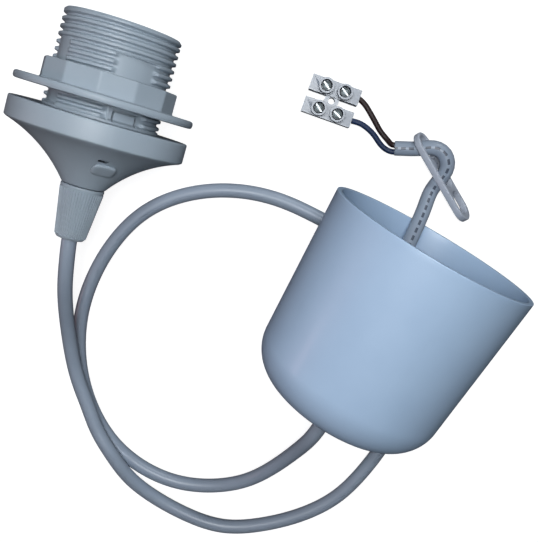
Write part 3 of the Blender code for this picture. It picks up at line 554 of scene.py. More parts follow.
def rounded(corners: Sequence[tuple[float, ...]]) -> Profile:
    """Round the corners of a closed outline.

    Args:
        corners: Each corner's two coordinates, and its radius if it is rounded.

    Returns:
        The outline's points.
    """
    outline = []
    for index, (across, along, *radius) in enumerate(corners):
        here = Vector((across, along))
        before = Vector(corners[index - 1][:2]) - here
        after = Vector(corners[(index + 1) % len(corners)][:2]) - here
        sharp = not radius or min(before.length, after.length) < SAME_PLACE
        half = 0.0 if sharp else before.angle(after) / 2.0
        if sharp or half > STRAIGHT:
            outline.append(tuple(here))
            continue
        reach = min(radius[0] / math.tan(half), ROUNDING_SHARE * min(before.length, after.length))
        start = here + before.normalized() * reach
        end = here + after.normalized() * reach
        for step in range(ROUNDING_STEPS + 1):
            share = step / ROUNDING_STEPS
            outline.append(tuple(start * (1.0 - share) ** 2 + here * 2.0 * share * (1.0 - share)
                                 + end * share ** 2))
    return outline


def bowed(start: Pair, end: Pair, bow: float, steps: int) -> Profile:
    """Points of a shallow arc, ends included.

    Args:
        start, end: Its two ends.
        bow: How far it bows to the left of travel; below zero for the right.
        steps: Its number of pieces.

    Returns:
        The points.
    """
    chord = Vector(end) - Vector(start)
    across = Vector((-chord.y, chord.x)).normalized()
    shares = [step / steps for step in range(steps + 1)]
    return [tuple(Vector(start) + chord * share + across * bow * 4.0 * share * (1.0 - share))
            for share in shares]


def eased(value: float | np.ndarray, low: float, high: float) -> np.ndarray:
    """A smooth step that is 0 at low and 1 at high; low may be the greater one."""
    share = np.clip((value - low) / (high - low), 0.0, 1.0)
    return share * share * (3.0 - 2.0 * share)


def pillow_of(size: Sequence[float], place: Matrix) -> bpy.types.Mesh:
    """Make a soft-cornered pad about its own centre.

    Args:
        size: Its three widths.
        place: Where it goes.

    Returns:
        The mesh.
    """
    bm = bmesh.new()
    around, along = PILLOW_FACETS
    bmesh.ops.create_uvsphere(bm, u_segments=around, v_segments=along, radius=1.0)
    for vert in bm.verts:
        vert.co = [math.copysign(abs(value) ** PILLOW_POWER * full / 2.0, value)
                   for value, full in zip(vert.co, size)]
    return Workshop.mesh_from(bm, "pillow", place)


def block_of(size: Sequence[float], place: Matrix) -> bpy.types.Mesh:
    """Make a box about its own centre, for cutting or joining.

    Args:
        size: Its three widths.
        place: Where it goes.

    Returns:
        The mesh.
    """
    bm = bmesh.new()
    bmesh.ops.create_cube(bm, size=1.0)
    bmesh.ops.scale(bm, vec=size, verts=bm.verts)
    return Workshop.mesh_from(bm, "block", place)


def rod_of(radius: float, length: float, place: Matrix) -> bpy.types.Mesh:
    """Make a rod along Z about its own centre, for cutting or joining.

    Args:
        radius, length: Its size.
        place: Where it goes.

    Returns:
        The mesh.
    """
    bm = bmesh.new()
    bmesh.ops.create_cone(bm, cap_ends=True, segments=ROD_FACETS, radius1=radius, radius2=radius,
                          depth=length)
    return Workshop.mesh_from(bm, "rod", place)


class Route:
    """A natural cubic curve through given points."""

    def __init__(self, points: Sequence[Sequence[float]]) -> None:
        """Solve the curve's bends.

        Args:
            points: The points that it passes through.
        """
        self.points = np.array(points, dtype=float)
        spans = np.linalg.norm(np.diff(self.points, axis=0), axis=1)
        self.knots = np.concatenate(([0.0], np.cumsum(spans)))
        slopes = np.diff(self.points, axis=0) / spans[:, None]
        system = np.eye(len(self.points))
        right = np.zeros_like(self.points)
        for index in range(1, len(self.points) - 1):
            before, after = spans[index - 1], spans[index]
            system[index, index - 1:index + 2] = before, 2.0 * (before + after), after
            right[index] = 6.0 * (slopes[index] - slopes[index - 1])
        self.bends = np.linalg.solve(system, right)

    def at(self, place: float) -> np.ndarray:
        """Find the point at a place along the knots.

        Args:
            place: The place.

        Returns:
            The point.
        """
        index = min(max(int(np.searchsorted(self.knots, place)) - 1, 0), len(self.knots) - 2)
        step = self.knots[index + 1] - self.knots[index]
        ahead = (place - self.knots[index]) / step
        behind = 1.0 - ahead
        curve = ((behind ** 3 - behind) * self.bends[index]
                 + (ahead ** 3 - ahead) * self.bends[index + 1])
        return behind * self.points[index] + ahead * self.points[index + 1] + curve * step ** 2 / 6.0

    def walked(self, spacing: float) -> np.ndarray:
        """Points along the curve at about a spacing, ends included."""
        count = int(self.knots[-1] / spacing) + 1
        return np.array([self.at(place) for place in np.linspace(0.0, self.knots[-1], count)])


def tube(name: str, points: np.ndarray, radii: np.ndarray, sides: int, edge: float) -> bpy.types.Object:
    """A round tube along points with clean-cut ends.

    Args:
        name: The tube's name.
        points: The middle line, in the row frame.
        radii: The radius at each point.
        sides: Points around.
        edge: Size of the bevel at its ends.

    Returns:
        The tube, which isn't a piece yet. Its UV map's first axis is the length along it in metres,
        and its second is TUBE_TOP on top.
    """
    ahead = np.gradient(points, axis=0)
    ahead /= np.linalg.norm(ahead, axis=1)[:, None]
    level = np.cross(ahead, (0.0, 0.0, 1.0))
    level /= np.linalg.norm(level, axis=1)[:, None]
    down = np.cross(ahead, level)
    rings = [(points[0], 0.0, 0), (points[0], radii[0] - edge, 0),
             (points[0] + ahead[0] * edge, radii[0], 0)]
    rings += [(points[index], radii[index], index) for index in range(1, len(points) - 1)]
    rings += [(points[-1] - ahead[-1] * edge, radii[-1], -1), (points[-1], radii[-1] - edge, -1),
              (points[-1], 0.0, -1)]
    spans = np.linalg.norm(np.diff([centre for centre, _, _ in rings], axis=0), axis=1)
    lengths = np.concatenate(([0.0], np.cumsum(spans)))
    bm = bmesh.new()
    layer = bm.loops.layers.uv.new("along")
    turns = np.arange(sides) / sides * math.tau
    loops = []
    for centre, radius, pick in rings:
        round_it = [centre + radius * (math.cos(turn) * level[pick] + math.sin(turn) * down[pick])
                    for turn in turns]
        loops.append([bm.verts.new(spot) for spot in (round_it if radius else [centre])])
    for row in range(len(loops) - 1):
        for step in range(sides):
            spots = [(row, step), (row, step + 1), (row + 1, step + 1), (row + 1, step)]
            if len(loops[row]) == 1:
                spots.pop(1)
            elif len(loops[row + 1]) == 1:
                spots.pop(2)
            face = bm.faces.new([loops[ring][turn % len(loops[ring])] for ring, turn in spots])
            for loop, (ring, turn) in zip(face.loops, spots):
                loop[layer].uv = (lengths[ring], turn / sides)
    return Workshop.loose(name, Workshop.mesh_from(bm, name))


class NodeShapes:
    """Geometry Nodes for what repeats around an axis, follows a screw line or stands in rows.

    Each shape adds its nodes to a started tree, from the tree's named inputs, and returns the socket
    of its result.
    """

    RIB_SIDES = 8
    RIDGE_SIDES = 10

    @staticmethod
    def _swept(graph: Graph, line: Socket, sides: int, radius: Socket) -> Socket:
        """Sweep a circle along a line into a closed round bar."""
        section = graph.out("GeometryNodeCurvePrimitiveCircle", {"Resolution": sides, "Radius": radius})
        return graph.out("GeometryNodeCurveToMesh", {
            "Curve": line, "Profile Curve": section, "Fill Caps": True})

    @staticmethod
    def _placed(graph: Graph, points: Socket, shape: Socket, turn: Socket) -> Socket:
        """Put a shape on points, each turned about Z.

        Args:
            graph: The tree's graph.
            points: Where the shapes go.
            shape: The shape.
            turn: The turn of each, in radians.

        Returns:
            The placed shapes.
        """
        euler = graph.out("ShaderNodeCombineXYZ", {"Z": turn})
        rotation = graph.out("FunctionNodeEulerToRotation", {0: euler})
        return graph.out("GeometryNodeInstanceOnPoints", {
            "Points": points, "Instance": shape, "Rotation": rotation})

    @classmethod
    def ribs_around(cls, graph: Graph, given: Sockets) -> Socket:
        """Round ribs that run down a cone, evenly around its axis.

        Args:
            graph: The tree's graph.
            given: The tree's inputs, by name.

        Returns:
            The result.
        """
        ends = [graph.out("ShaderNodeCombineXYZ", {"X": given[f"{end} Radius"],
                                                   "Z": given[f"{end} Height"]})
                for end in ("Top", "Foot")]
        line = graph.out("GeometryNodeCurvePrimitiveLine", {"Start": ends[0], "End": ends[1]})
        rib = cls._swept(graph, line, cls.RIB_SIDES, given["Rib Radius"])
        points = graph.out("GeometryNodePoints", {"Count": given["Ribs"]})
        share = graph.maths("DIVIDE", graph.out("GeometryNodeInputIndex"), given["Ribs"])
        return cls._placed(graph, points, rib, graph.maths("MULTIPLY", share, math.tau))

    @classmethod
    def screw_line(cls, graph: Graph, given: Sockets) -> Socket:
        """A rounded ridge along a screw line, such as a lamp thread's.

        Args:
            graph: The tree's graph.
            given: The tree's inputs, by name.

        Returns:
            The result.
        """
        line = graph.out("GeometryNodeCurveSpiral", {
            "Resolution": given["Steps"], "Rotations": given["Turns"], "Start Radius": given["Radius"],
            "End Radius": given["Radius"], "Height": given["Rise"]})
        return cls._swept(graph, line, cls.RIDGE_SIDES, given["Ridge"])

    @classmethod
    def screw_rows(cls, graph: Graph, given: Sockets) -> Socket:
        """The modifier's own shape in two rows of two, each turned its own way about Z.

        Args:
            graph: The tree's graph.
            given: The tree's inputs, by name.

        Returns:
            The result.
        """
        number = graph.out("GeometryNodeInputIndex")
        column = graph.maths("SUBTRACT", graph.maths("MODULO", number, 2.0), 0.5)
        row = graph.maths("SUBTRACT", graph.maths("FLOOR", graph.maths("DIVIDE", number, 2.0)), 0.5)
        spot = graph.out("ShaderNodeCombineXYZ", {
            "X": graph.maths("MULTIPLY", column, given["Spacing"]),
            "Y": graph.maths("MULTIPLY", row, given["Pitch"])})
        points = graph.out("GeometryNodePoints", {"Count": 4, "Position": spot})
        chance = graph.add("FunctionNodeRandomValue", {
            2: given["Least Turn"], 3: given["Most Turn"], "Seed": given["Seed"]}, data_type="FLOAT")
        return cls._placed(graph, points, given["Geometry"], chance.outputs[1])

    @staticmethod
    def grow(name: str, shape: Callable, values: dict[str, object], look: Finish, place: Matrix,
             seed_mesh: bpy.types.Mesh | None = None) -> bpy.types.Object:
        """Build a shape's tree, run it, and keep the result as a plain mesh at its place.

        Args:
            name: The piece's name.
            shape: One of the shapes above.
            values: The tree's inputs, by name.
            look: The finish of its faces.
            place: Where the result goes.
            seed_mesh: The shape that the tree starts from, if it needs one.

        Returns:
            The object, which isn't a piece yet.
        """
        graph, given, result = Graph.group(shape.__name__, "GeometryNodeTree",
                                           {"Geometry": None, **values, "Material": None}, "Geometry")
        real = graph.out("GeometryNodeRealizeInstances", {"Geometry": shape(graph, given)})
        smooth = graph.out("GeometryNodeSetShadeSmooth", {"Geometry": real})
        graph.feed(result, graph.out("GeometryNodeSetMaterial", {
            "Geometry": smooth, "Material": given["Material"]}))
        item = Workshop.loose(name, seed_mesh or bpy.data.meshes.new(name))
        step = item.modifiers.new(name, "NODES")
        step.node_group = graph.tree
        chosen = {**values, "Material": look.build()}
        for socket in graph.tree.interface.items_tree:
            if socket.in_out == "INPUT" and socket.name in chosen:
                step[socket.identifier] = chosen[socket.name]
        Workshop.settle(item)
        bm = bmesh.new()
        bm.from_mesh(item.data)
        item.data = Workshop.mesh_from(bm, name, place)
        return item


@dataclass
class PhotoCamera:
    """The camera that the photograph was taken with, fitted to the holder and the cup.

    Attributes:
        position: Where it stands.
        right, up: Its two image directions.
        lens: Focal length for the sensor's width, both in millimetres.
        clip: The nearest and the farthest distance that it sees.
    """

    position: Triple = (0.006067, 0.029675, 0.30052)
    right: Triple = (0.9578, 0.285, -0.0364)
    up: Triple = (-0.2873, 0.947, -0.144)
    lens: float = 51.81
    sensor: float = 36.0
    clip: Pair = (0.01, 20.0)

    def build(self) -> None:
        """Create the camera and make it the scene's own."""
        lens = bpy.data.cameras.new("photo_camera")
        lens.sensor_width = self.sensor
        lens.lens = self.lens
        lens.clip_start, lens.clip_end = self.clip
        made = bpy.data.objects.new("photo_camera", lens)
        bpy.context.scene.collection.objects.link(made)
        right = Vector(self.right).normalized()
        up = (Vector(self.up) - right * right.dot(Vector(self.up))).normalized()
        turn = Matrix((right, up, right.cross(up))).transposed().to_4x4()
        made.matrix_world = Matrix.Translation(self.position) @ turn
        bpy.context.scene.camera = made


@dataclass(frozen=True)
class SoftLamp:
    """A square soft lamp that looks at the set's middle.

    Attributes:
        name: The lamp's name.
        place: Where it stands.
        power: Its power in watts.
        side: Its width.
        colour: Its linear colour.
        aim: What it looks at.
    """

    name: str
    place: Triple
    power: float
    side: float
    colour: Triple
    aim: Triple = (0.0, 0.0, 0.02)

    def build(self) -> None:
        """Make the lamp and turn it to the set."""
        light = bpy.data.lights.new(self.name, "AREA")
        light.energy = self.power
        light.size = self.side
        light.color = self.colour
        made = bpy.data.objects.new(self.name, light)
        bpy.context.scene.collection.objects.link(made)
        turn = (Vector(self.aim) - Vector(self.place)).to_track_quat("-Z", "Y")
        made.matrix_world = Matrix.Translation(self.place) @ turn.to_matrix().to_4x4()


@dataclass
class Studio:
    """Pale floor, a light beside the lens, a warm one from the left and one into the cup's mouth.

    Attributes:
        lamps: The three lights.
        surround: Strength of the world's light.
        surround_colour: Its linear colour.
        floor_side: Width of the floor.
        floor_colour: The linear colour that takes the set's shadow.
        floor_glow: What the floor adds to that for the camera.
        bounce: How pale the floor is to bounced light.
    """

    lamps: tuple[SoftLamp, ...] = (
        SoftLamp("key_light", (-0.01, 0.06, 0.46), 1.50, 0.14, (0.97, 1.0, 1.03)),
        SoftLamp("warm_light", (-0.9, -0.25, 0.30), 0.85, 0.14, (1.0, 0.62, 0.66)),
        SoftLamp("mouth_light", (0.12, 0.75, 0.36), 1.95, 0.20, (0.96, 1.0, 1.04)))
    surround: float = 0.035
    surround_colour: Colour = (0.92, 0.97, 1.04, 1.0)
    floor_side: float = 4.0
    floor_colour: Colour = (0.30, 0.31, 0.32, 1.0)
    floor_glow: float = 0.88
    bounce: float = 0.06

    def build(self) -> None:
        """Make the floor, the lamps and the world."""
        self._floor()
        for lamp in self.lamps:
            lamp.build()
        world = bpy.data.worlds.new("surround")
        world.use_nodes = True
        graph = Graph(world.node_tree)
        backdrop = world.node_tree.nodes["Background"]
        graph.fill(backdrop, {"Color": self.surround_colour, "Strength": self.surround})
        white = graph.out("ShaderNodeBackground", {"Color": WHITE, "Strength": 1.0})
        self._show(graph, world.node_tree.nodes["World Output"], white, backdrop.outputs[0])
        bpy.context.scene.world = world
        bpy.context.scene.view_settings.view_transform = "Standard"

    @staticmethod
    def _show(graph: Graph, out: bpy.types.Node, seen: Socket, others: Socket) -> None:
        """Give camera and transmitted rays one shader, and all other rays another.

        Args:
            graph: The material's or world's graph.
            out: Its output node.
            seen: The shader for camera and transmitted rays.
            others: The shader for other rays.
        """
        path = graph.add("ShaderNodeLightPath").outputs
        share = graph.maths("MAXIMUM", path["Is Camera Ray"], path["Is Transmission Ray"])
        mixed = graph.out("ShaderNodeMixShader", {0: share, 1: others, 2: seen})
        graph.feed(out.inputs["Surface"], mixed)

    def _floor(self) -> None:
        """The table top: white to the camera with the set's shadow, grey to bounced light."""
        bm = bmesh.new()
        bmesh.ops.create_grid(bm, x_segments=1, y_segments=1, size=self.floor_side / 2.0)
        floor = Workshop.loose("floor", Workshop.mesh_from(bm, "floor"))
        look = bpy.data.materials.new("floor_white")
        look.use_nodes = True
        graph = Graph(look.node_tree)
        shader = look.node_tree.nodes["Principled BSDF"]
        graph.fill(shader, {"Base Color": self.floor_colour, "Roughness": 0.9})
        bright = graph.out("ShaderNodeEmission", {"Color": WHITE, "Strength": self.floor_glow})
        shadowed = graph.out("ShaderNodeAddShader", {0: shader.outputs[0], 1: bright})
        dull = graph.out("ShaderNodeBsdfDiffuse", {"Color": (*(self.bounce,) * 3, 1.0)})
        self._show(graph, look.node_tree.nodes["Material Output"], shadowed, dull)
        floor.data.materials.append(look)


@dataclass
class FlexCord:
    """The round two-core cord, from inside the cap to its stripped end.

    Attributes:
        diameter: Its nominal thickness.
        inside: Length hidden in the holder.
        spacing: Distance between the points that the skin follows.
        sides: Points around.
        fullness: The skin's radius against the nominal one.
        squeeze: How much the sheath swells in its fold beside the strap.
        fold_reach: How far from the fold's middle the swelling reaches.
        lowest: Where it lies flattened on the table.
    """

    diameter: float = 0.0053
    inside: float = 0.0240
    spacing: float = 0.0016
    sides: int = 28
    fullness: float = 1.03
    squeeze: float = 0.03
    fold_reach: float = 0.0045
    lowest: float = 0.00001

    # On the bench. A point of two numbers lies on the table, half a diameter up.
    ROUTE = (
        (0.0000, -0.0418, 0.03075), (0.0008, -0.0500, 0.0301), (0.0016, -0.0600, 0.0267),
        (0.0026, -0.0700, 0.0208), (0.0044, -0.0800, 0.0150), (0.0074, -0.0903, 0.0109),
        (0.0116, -0.0994, 0.0091), (0.0177, -0.1085, 0.0087), (0.0238, -0.1170, 0.0087),
        (0.0311, -0.1242, 0.0089), (0.0408, -0.1332, 0.0063), (0.0530, -0.1398, 0.0033),
        (0.0675, -0.1433), (0.0825, -0.1435), (0.0972, -0.1382), (0.1110, -0.1295), (0.1225, -0.1178),
        (0.1302, -0.1025), (0.1350, -0.0855), (0.1358, -0.0680), (0.1322, -0.0505), (0.1242, -0.0350),
        (0.1125, -0.0236), (0.0985, -0.0163), (0.0829, -0.0126), (0.0680, -0.0105), (0.0540, -0.0111),
        (0.0419, -0.0141), (0.0297, -0.0200), (0.0185, -0.0296), (0.0105, -0.0430), (0.0061, -0.0576),
        (0.0048, -0.0725), (0.0068, -0.0870), (0.0118, -0.1005), (0.0200, -0.1130), (0.0310, -0.1230),
        (0.0440, -0.1290), (0.0585, -0.1310),
        (0.0725, -0.1285, 0.0029), (0.0850, -0.1215, 0.0051), (0.0940, -0.1100, 0.0112),
        (0.1001, -0.0962, 0.0216), (0.1032, -0.0838, 0.0322), (0.1050, -0.0727, 0.0362),
        (0.1072, -0.0600, 0.0350), (0.1098, -0.0465, 0.0295), (0.1125, -0.0330, 0.0232),
        (0.1152, -0.0190, 0.0173), (0.1175, -0.0060, 0.0130), (0.1190, 0.0035, 0.0088),
        (0.1202, 0.0102, 0.0055), (0.1221, 0.0150, 0.0050), (0.1228, 0.0186, 0.0059),
        (0.1216, 0.0222, 0.0067), (0.1187, 0.0244, 0.0068), (0.1150, 0.0245, 0.0064),
        (0.1115, 0.0231, 0.0054), (0.1070, 0.0217, 0.0042), (0.1023, 0.0205, 0.0035),
    )
    FOLD = (0.1205, 0.0195)   # the fold's middle beside the strap, on the bench

    def path(self) -> np.ndarray:
        """Find the middle line in the row frame, from inside the cap to the stripped end.

        Returns:
            Its points.
        """
        across, along, height = self.ROUTE[0]
        route = [(across, along + self.inside * share, height) for share in (1.0, 0.5)]
        route += [(*point, self.diameter / 2.0)[:3] for point in self.ROUTE]
        return Route(route).walked(self.spacing) + np.array(BENCH)

    def build(self) -> tuple[bpy.types.Object, np.ndarray]:
        """Make the sheath.

        Returns:
            The piece and the points that it follows.
        """
        points = self.path()
        near = np.linalg.norm((points - np.array(BENCH))[:, :2] - self.FOLD, axis=1)
        swell = self.fullness + self.squeeze * np.exp(-(near / self.fold_reach) ** 2)
        piece = tube("cord_tube", points, self.diameter / 2.0 * swell, self.sides, FINE_EDGE)
        for vertex in piece.data.vertices:
            vertex.co.z = max(vertex.co.z, self.lowest)
        return Workshop.finish(piece, CORD_SKIN, "cord_sheath"), points


@dataclass
class Lampholder:
    """Threaded neck, flange and cone, shade ring, grip nut and what is inside.

    Heights are measured from the flange's upper side, and angles in degrees from the holder's top.
    """

    segments: int = 192

    flange_radius: float = 0.03075
    flange_depth: float = 0.0070
    flange_edges: Pair = (0.0006, 0.0005)   # roundings, upper and lower
    rim_wall: float = 0.0021
    wall: float = 0.0020
    ledge: float = 0.0016
    ledge_level: float = -0.0023
    cone_length: float = 0.0165
    cone_start: Pair = (0.0007, 0.0002)   # in and down from the flange's edge
    cone_end: float = 0.0076
    cone_hollow: float = 0.0021
    cone_steps: tuple[int, int] = (20, 12)   # outside and inside
    nozzle_radius: float = 0.0046
    nozzle_bore: float = 0.0032
    nozzle_length: float = 0.0070

    neck_length: float = 0.0324
    crest_radius: float = 0.0200
    thread_depth: float = 0.0012
    pitch: float = 0.0025
    tooth: Pair = (0.06, 0.84)   # the wave's levels at root and crest
    rows_a_pitch: int = 16
    first_root: float = 0.03035
    first_root_angle: float = 15.0
    flank: float = 0.0008
    collar: float = 0.0007
    mouth_band: float = 0.0312
    mouth_chamfer: float = 0.0007
    mouth_lead: Triple = (0.0010, 0.0003, 0.0009)
    neck_wall: float = 0.0017
    lip: float = 0.0022
    bore: float = 0.0136
    bore_end: float = 0.0035
    seat_depth: float = 0.0020
    skirt_depth: float = 0.0050

    strips: tuple[Pair, ...] = ((36.0, 43.0), (-53.0, 33.0))   # middle and width
    strip_top: float = 0.0222
    strip_fade: float = 2.5
    latch_angle: float = 37.0
    latch_foot: float = 0.0007
    latch_size: Pair = (0.0080, 0.0036)
    latch_cut: float = 0.0060
    slit: float = 0.0007
    guide_rib: Triple = (0.0012, 0.0006, 0.0050)
    guide_rib_place: Triple = (19.5, 0.0003, 0.0030)   # angle, rise, height

    pad_place: Triple = (33.0, 0.0158, -0.0155)   # angle, radius, height
    pad_size: Triple = (0.0015, 0.0078, 0.0060)
    pad_lean: float = 52.0
    pad_slit_place: Triple = (27.0, 0.0175, -0.0124)
    pad_slit: Triple = (0.0080, 0.0034, 0.0007)

    ring_standoff: float = 0.0055
    ring_thickness: float = 0.0026
    ring_segments: int = 288
    hub_across: float = 0.0462
    hub_height: float = 0.0071
    hub_sides: int = 12
    hub_turn: float = 6.25
    hub_trim: float = 0.00005   # how far the hub's corners are cut back
    ring_corners: tuple[Pair, ...] = (   # reach and inset: crown, foot, disc
        (0.0005, 0.00015), (0.0006, 0.00018), (0.0009, 0.00025))

    grip_length: float = 0.0189
    grip_radius: float = 0.0076
    grip_foot: float = 0.0055
    grip_segments: int = 144
    grip_edge: float = 0.0004
    grip_band: Pair = (0.0008, 0.0013)   # where the plain band begins and ends its step inwards
    grip_chamfer: float = 0.0008
    grip_hollow: float = 0.0062   # where the nozzle's room begins
    ribs: int = 48
    rib_radius: float = 0.00022
    rib_sunk: float = 0.8   # share of a rib's radius under the skin
    rib_ends: Pair = (0.0014, 0.0010)

    lamp_pitch: float = 0.00363
    lamp_rise: float = 0.0190
    lamp_start: float = 0.0040
    lamp_ridge: float = 0.0007
    lamp_steps: int = 72

    @property
    def place(self) -> Matrix:
        """The holder's frame: +Z out of its mouth, -Y up from the table."""
        lay = Matrix.Rotation(-math.pi / 2.0, 4, "X")
        return Matrix.Translation(BENCH + Vector((0.0, 0.0, self.flange_radius))) @ lay

    def around(self, degrees: float, radius: float, height: float) -> Matrix:
        """A place on the holder's side, +X outwards, at degrees from its top."""
        spin = Matrix.Rotation(math.radians(degrees) - math.pi / 2.0, 4, "Z")
        return self.place @ spin @ Matrix.Translation((radius, 0.0, height))

    def build(self) -> None:
        """Build the holder's pieces in order, from the cap to the contacts."""
        self._cap()
        self._neck()
        self._ring()
        self._grip()
        self._lamp_thread()
        Workshop.dress(HOLDER_PLASTIC, "cord_clamp", "contact_carrier")
        Workshop.dress(BRASS, "centre_contact", "side_contact", "holder_terminal_brown",
                       "holder_terminal_blue")
        Workshop.dress(NICKEL, "holder_screw_brown", "holder_screw_blue")
        Workshop.dress(BROWN_SKIN, "holder_core_brown")
        Workshop.dress(BLUE_SKIN, "holder_core_blue")

    def _cap(self) -> None:
        """Flange, trumpet cone and nozzle, with the snap pad and its slit on the cone."""
        seat = self.flange_radius - self.rim_wall
        ledge = seat - self.ledge
        top = -self.flange_depth
        end = top - self.cone_length
        tip = end - self.nozzle_length
        inset, drop = self.cone_start
        outer = bowed((self.flange_radius - inset, top - drop), (self.cone_end, end),
                      -self.cone_hollow, self.cone_steps[0])
        inner = bowed((self.nozzle_bore + self.wall, end + self.wall), (ledge, top + self.wall / 2.0),
                      self.cone_hollow, self.cone_steps[1])
        corners = [(self.flange_radius, 0.0, self.flange_edges[0]),
                   (self.flange_radius, top + EDGE, self.flange_edges[1]), *outer[:-1],
                   (self.cone_end, end, EDGE), (self.nozzle_radius, end),
                   (self.nozzle_radius, tip, EDGE), (self.nozzle_bore, tip, FINE_EDGE),
                   (self.nozzle_bore, end + self.wall / 2.0), *inner,
                   (ledge, self.ledge_level), (seat, self.ledge_level), (seat, 0.0, FINE_EDGE)]
        cap = turned("cap_shell", rounded(corners), self.segments, self.place)
        lean = Matrix.Rotation(math.radians(self.pad_lean), 4, "Y")
        Workshop.combine(cap, "UNION", pillow_of(self.pad_size, self.around(*self.pad_place) @ lean))
        Workshop.combine(cap, "DIFFERENCE", block_of(self.pad_slit, self.around(*self.pad_slit_place)))
        Workshop.finish(cap, HOLDER_PLASTIC, "holder_cap")

    def _thread_rows(self) -> list[tuple]:
        """The neck's outside from its mouth down to the flange.

        Returns:
            Rows of radii, one for each segment, and their heights.
        """
        root = self.crest_radius - self.thread_depth
        from_top = np.arange(self.segments) / self.segments * 360.0 + 90.0
        rows = [(np.full(self.segments, self.crest_radius - self.mouth_chamfer), self.neck_length)]
        for height in np.arange(self.neck_length - self.mouth_chamfer, FINE_EDGE,
                                -self.pitch / self.rows_a_pitch):
            phase = (self.first_root - height) / self.pitch + (from_top - self.first_root_angle) / 360.0
            rise = eased(0.5 - 0.5 * np.cos(phase * math.tau), *self.tooth)
            for degrees, span in self.strips:
                away = np.abs((from_top - degrees + 180.0) % 360.0 - 180.0)
                bare = eased(away, span / 2.0 + self.strip_fade, span / 2.0 - self.strip_fade)
                rise = rise * (1.0 - bare * eased(height, self.strip_top + EDGE, self.strip_top - EDGE))
            band = max(float(eased(height, self.mouth_band - self.flank, self.mouth_band)),
                       float(eased(height, self.collar + self.flank, self.collar)))
            rows.append((root + self.thread_depth * np.maximum(rise, band), float(height)))
        rows.append((np.full(self.segments, self.crest_radius), 0.0))
        return rows

    def _neck(self) -> None:
        """Threaded neck with its strips, mouth, bore, seat flange, latch tab and guide rib."""
        root = self.crest_radius - self.thread_depth
        seat = self.flange_radius - self.rim_wall - GAP
        skirt = root + self.neck_wall / 2.0
        hollow = root - self.neck_wall
        lip = self.neck_length - self.lip
        depth, inset, width = self.mouth_lead
        rows = self._thread_rows()
        rows += [(seat - EDGE, 0.0), (seat, -EDGE), (seat, -self.seat_depth), (skirt, -self.seat_depth),
                 (skirt, -self.skirt_depth), (hollow, -self.skirt_depth), (hollow, lip),
                 (self.bore + self.neck_wall, lip), (self.bore + self.neck_wall, self.bore_end),
                 (self.bore, self.bore_end), (self.bore, self.neck_length - depth),
                 (self.bore + inset, self.neck_length - inset), (self.bore + width, self.neck_length)]
        neck = turned("threaded_neck", rows, self.segments, self.place)
        wide, tall = self.latch_size
        middle = self.latch_foot + tall / 2.0
        cuts = []
        for side, height, across, along in ((wide / 2.0, middle, self.slit, tall),
                                            (-wide / 2.0, middle, self.slit, tall),
                                            (0.0, self.latch_foot + tall, wide + self.slit, self.slit)):
            spot = self.around(self.latch_angle, root, height) @ Matrix.Translation((0.0, side, 0.0))
            cuts.append(block_of((self.latch_cut, across, along), spot))
        angle, rise, height = self.guide_rib_place
        Workshop.combine(neck, "UNION", block_of(self.guide_rib, self.around(angle, root + rise, height)))
        Workshop.combine(neck, "DIFFERENCE", *cuts)
        Workshop.finish(neck, HOLDER_PLASTIC, "threaded_sleeve")

    @staticmethod
    def _corner(radius: float | np.ndarray, height: float, size: Pair,
                across: float, up: float) -> list[tuple]:
        """Rows that take a shell round a corner.

        Args:
            radius, height: The corner.
            size: How far the rounding reaches, and how far in its middle row lies.
            across, up: Signs of the way from the corner to its ends.

        Returns:
            Three rows, from the end on the level face to the one on the upright face.
        """
        reach, inset = size
        return [(radius + across * reach, height), (radius + across * inset, height + up * inset),
                (radius, height + up * reach)]

    def _ring(self) -> None:
        """Shade ring: a thin disc with a many-sided hub with crisp corners."""
        turns = np.arange(self.ring_segments) / self.ring_segments * math.tau
        side = math.tau / self.hub_sides
        from_top = turns + math.pi / 2.0 - math.radians(self.hub_turn)
        away = (from_top % side) - side / 2.0
        flat = self.hub_across / 2.0 * math.cos(side / 2.0)
        hub = np.minimum(flat / np.cos(away), self.hub_across / 2.0 - self.hub_trim)
        bore = self.crest_radius + GAP
        edge = self.flange_radius
        low = self.ring_standoff
        top = low + self.ring_thickness
        crown = top + self.hub_height
        at_crown, at_foot, at_disc = self.ring_corners
        rows = [(bore + EDGE, crown), *self._corner(hub, crown, at_crown, -1.0, -1.0),
                *self._corner(hub, top, at_foot, 1.0, 1.0)[::-1],
                *self._corner(edge, top, at_disc, -1.0, -1.0),
                *self._corner(edge, low, at_disc, -1.0, 1.0)[::-1],
                (bore + EDGE, low), (bore, low + EDGE), (bore, crown - EDGE)]
        ring = turned("shade_ring_disc", rows, self.ring_segments, self.place)
        Workshop.finish(ring, HOLDER_PLASTIC, "shade_ring", body=Body.RING)

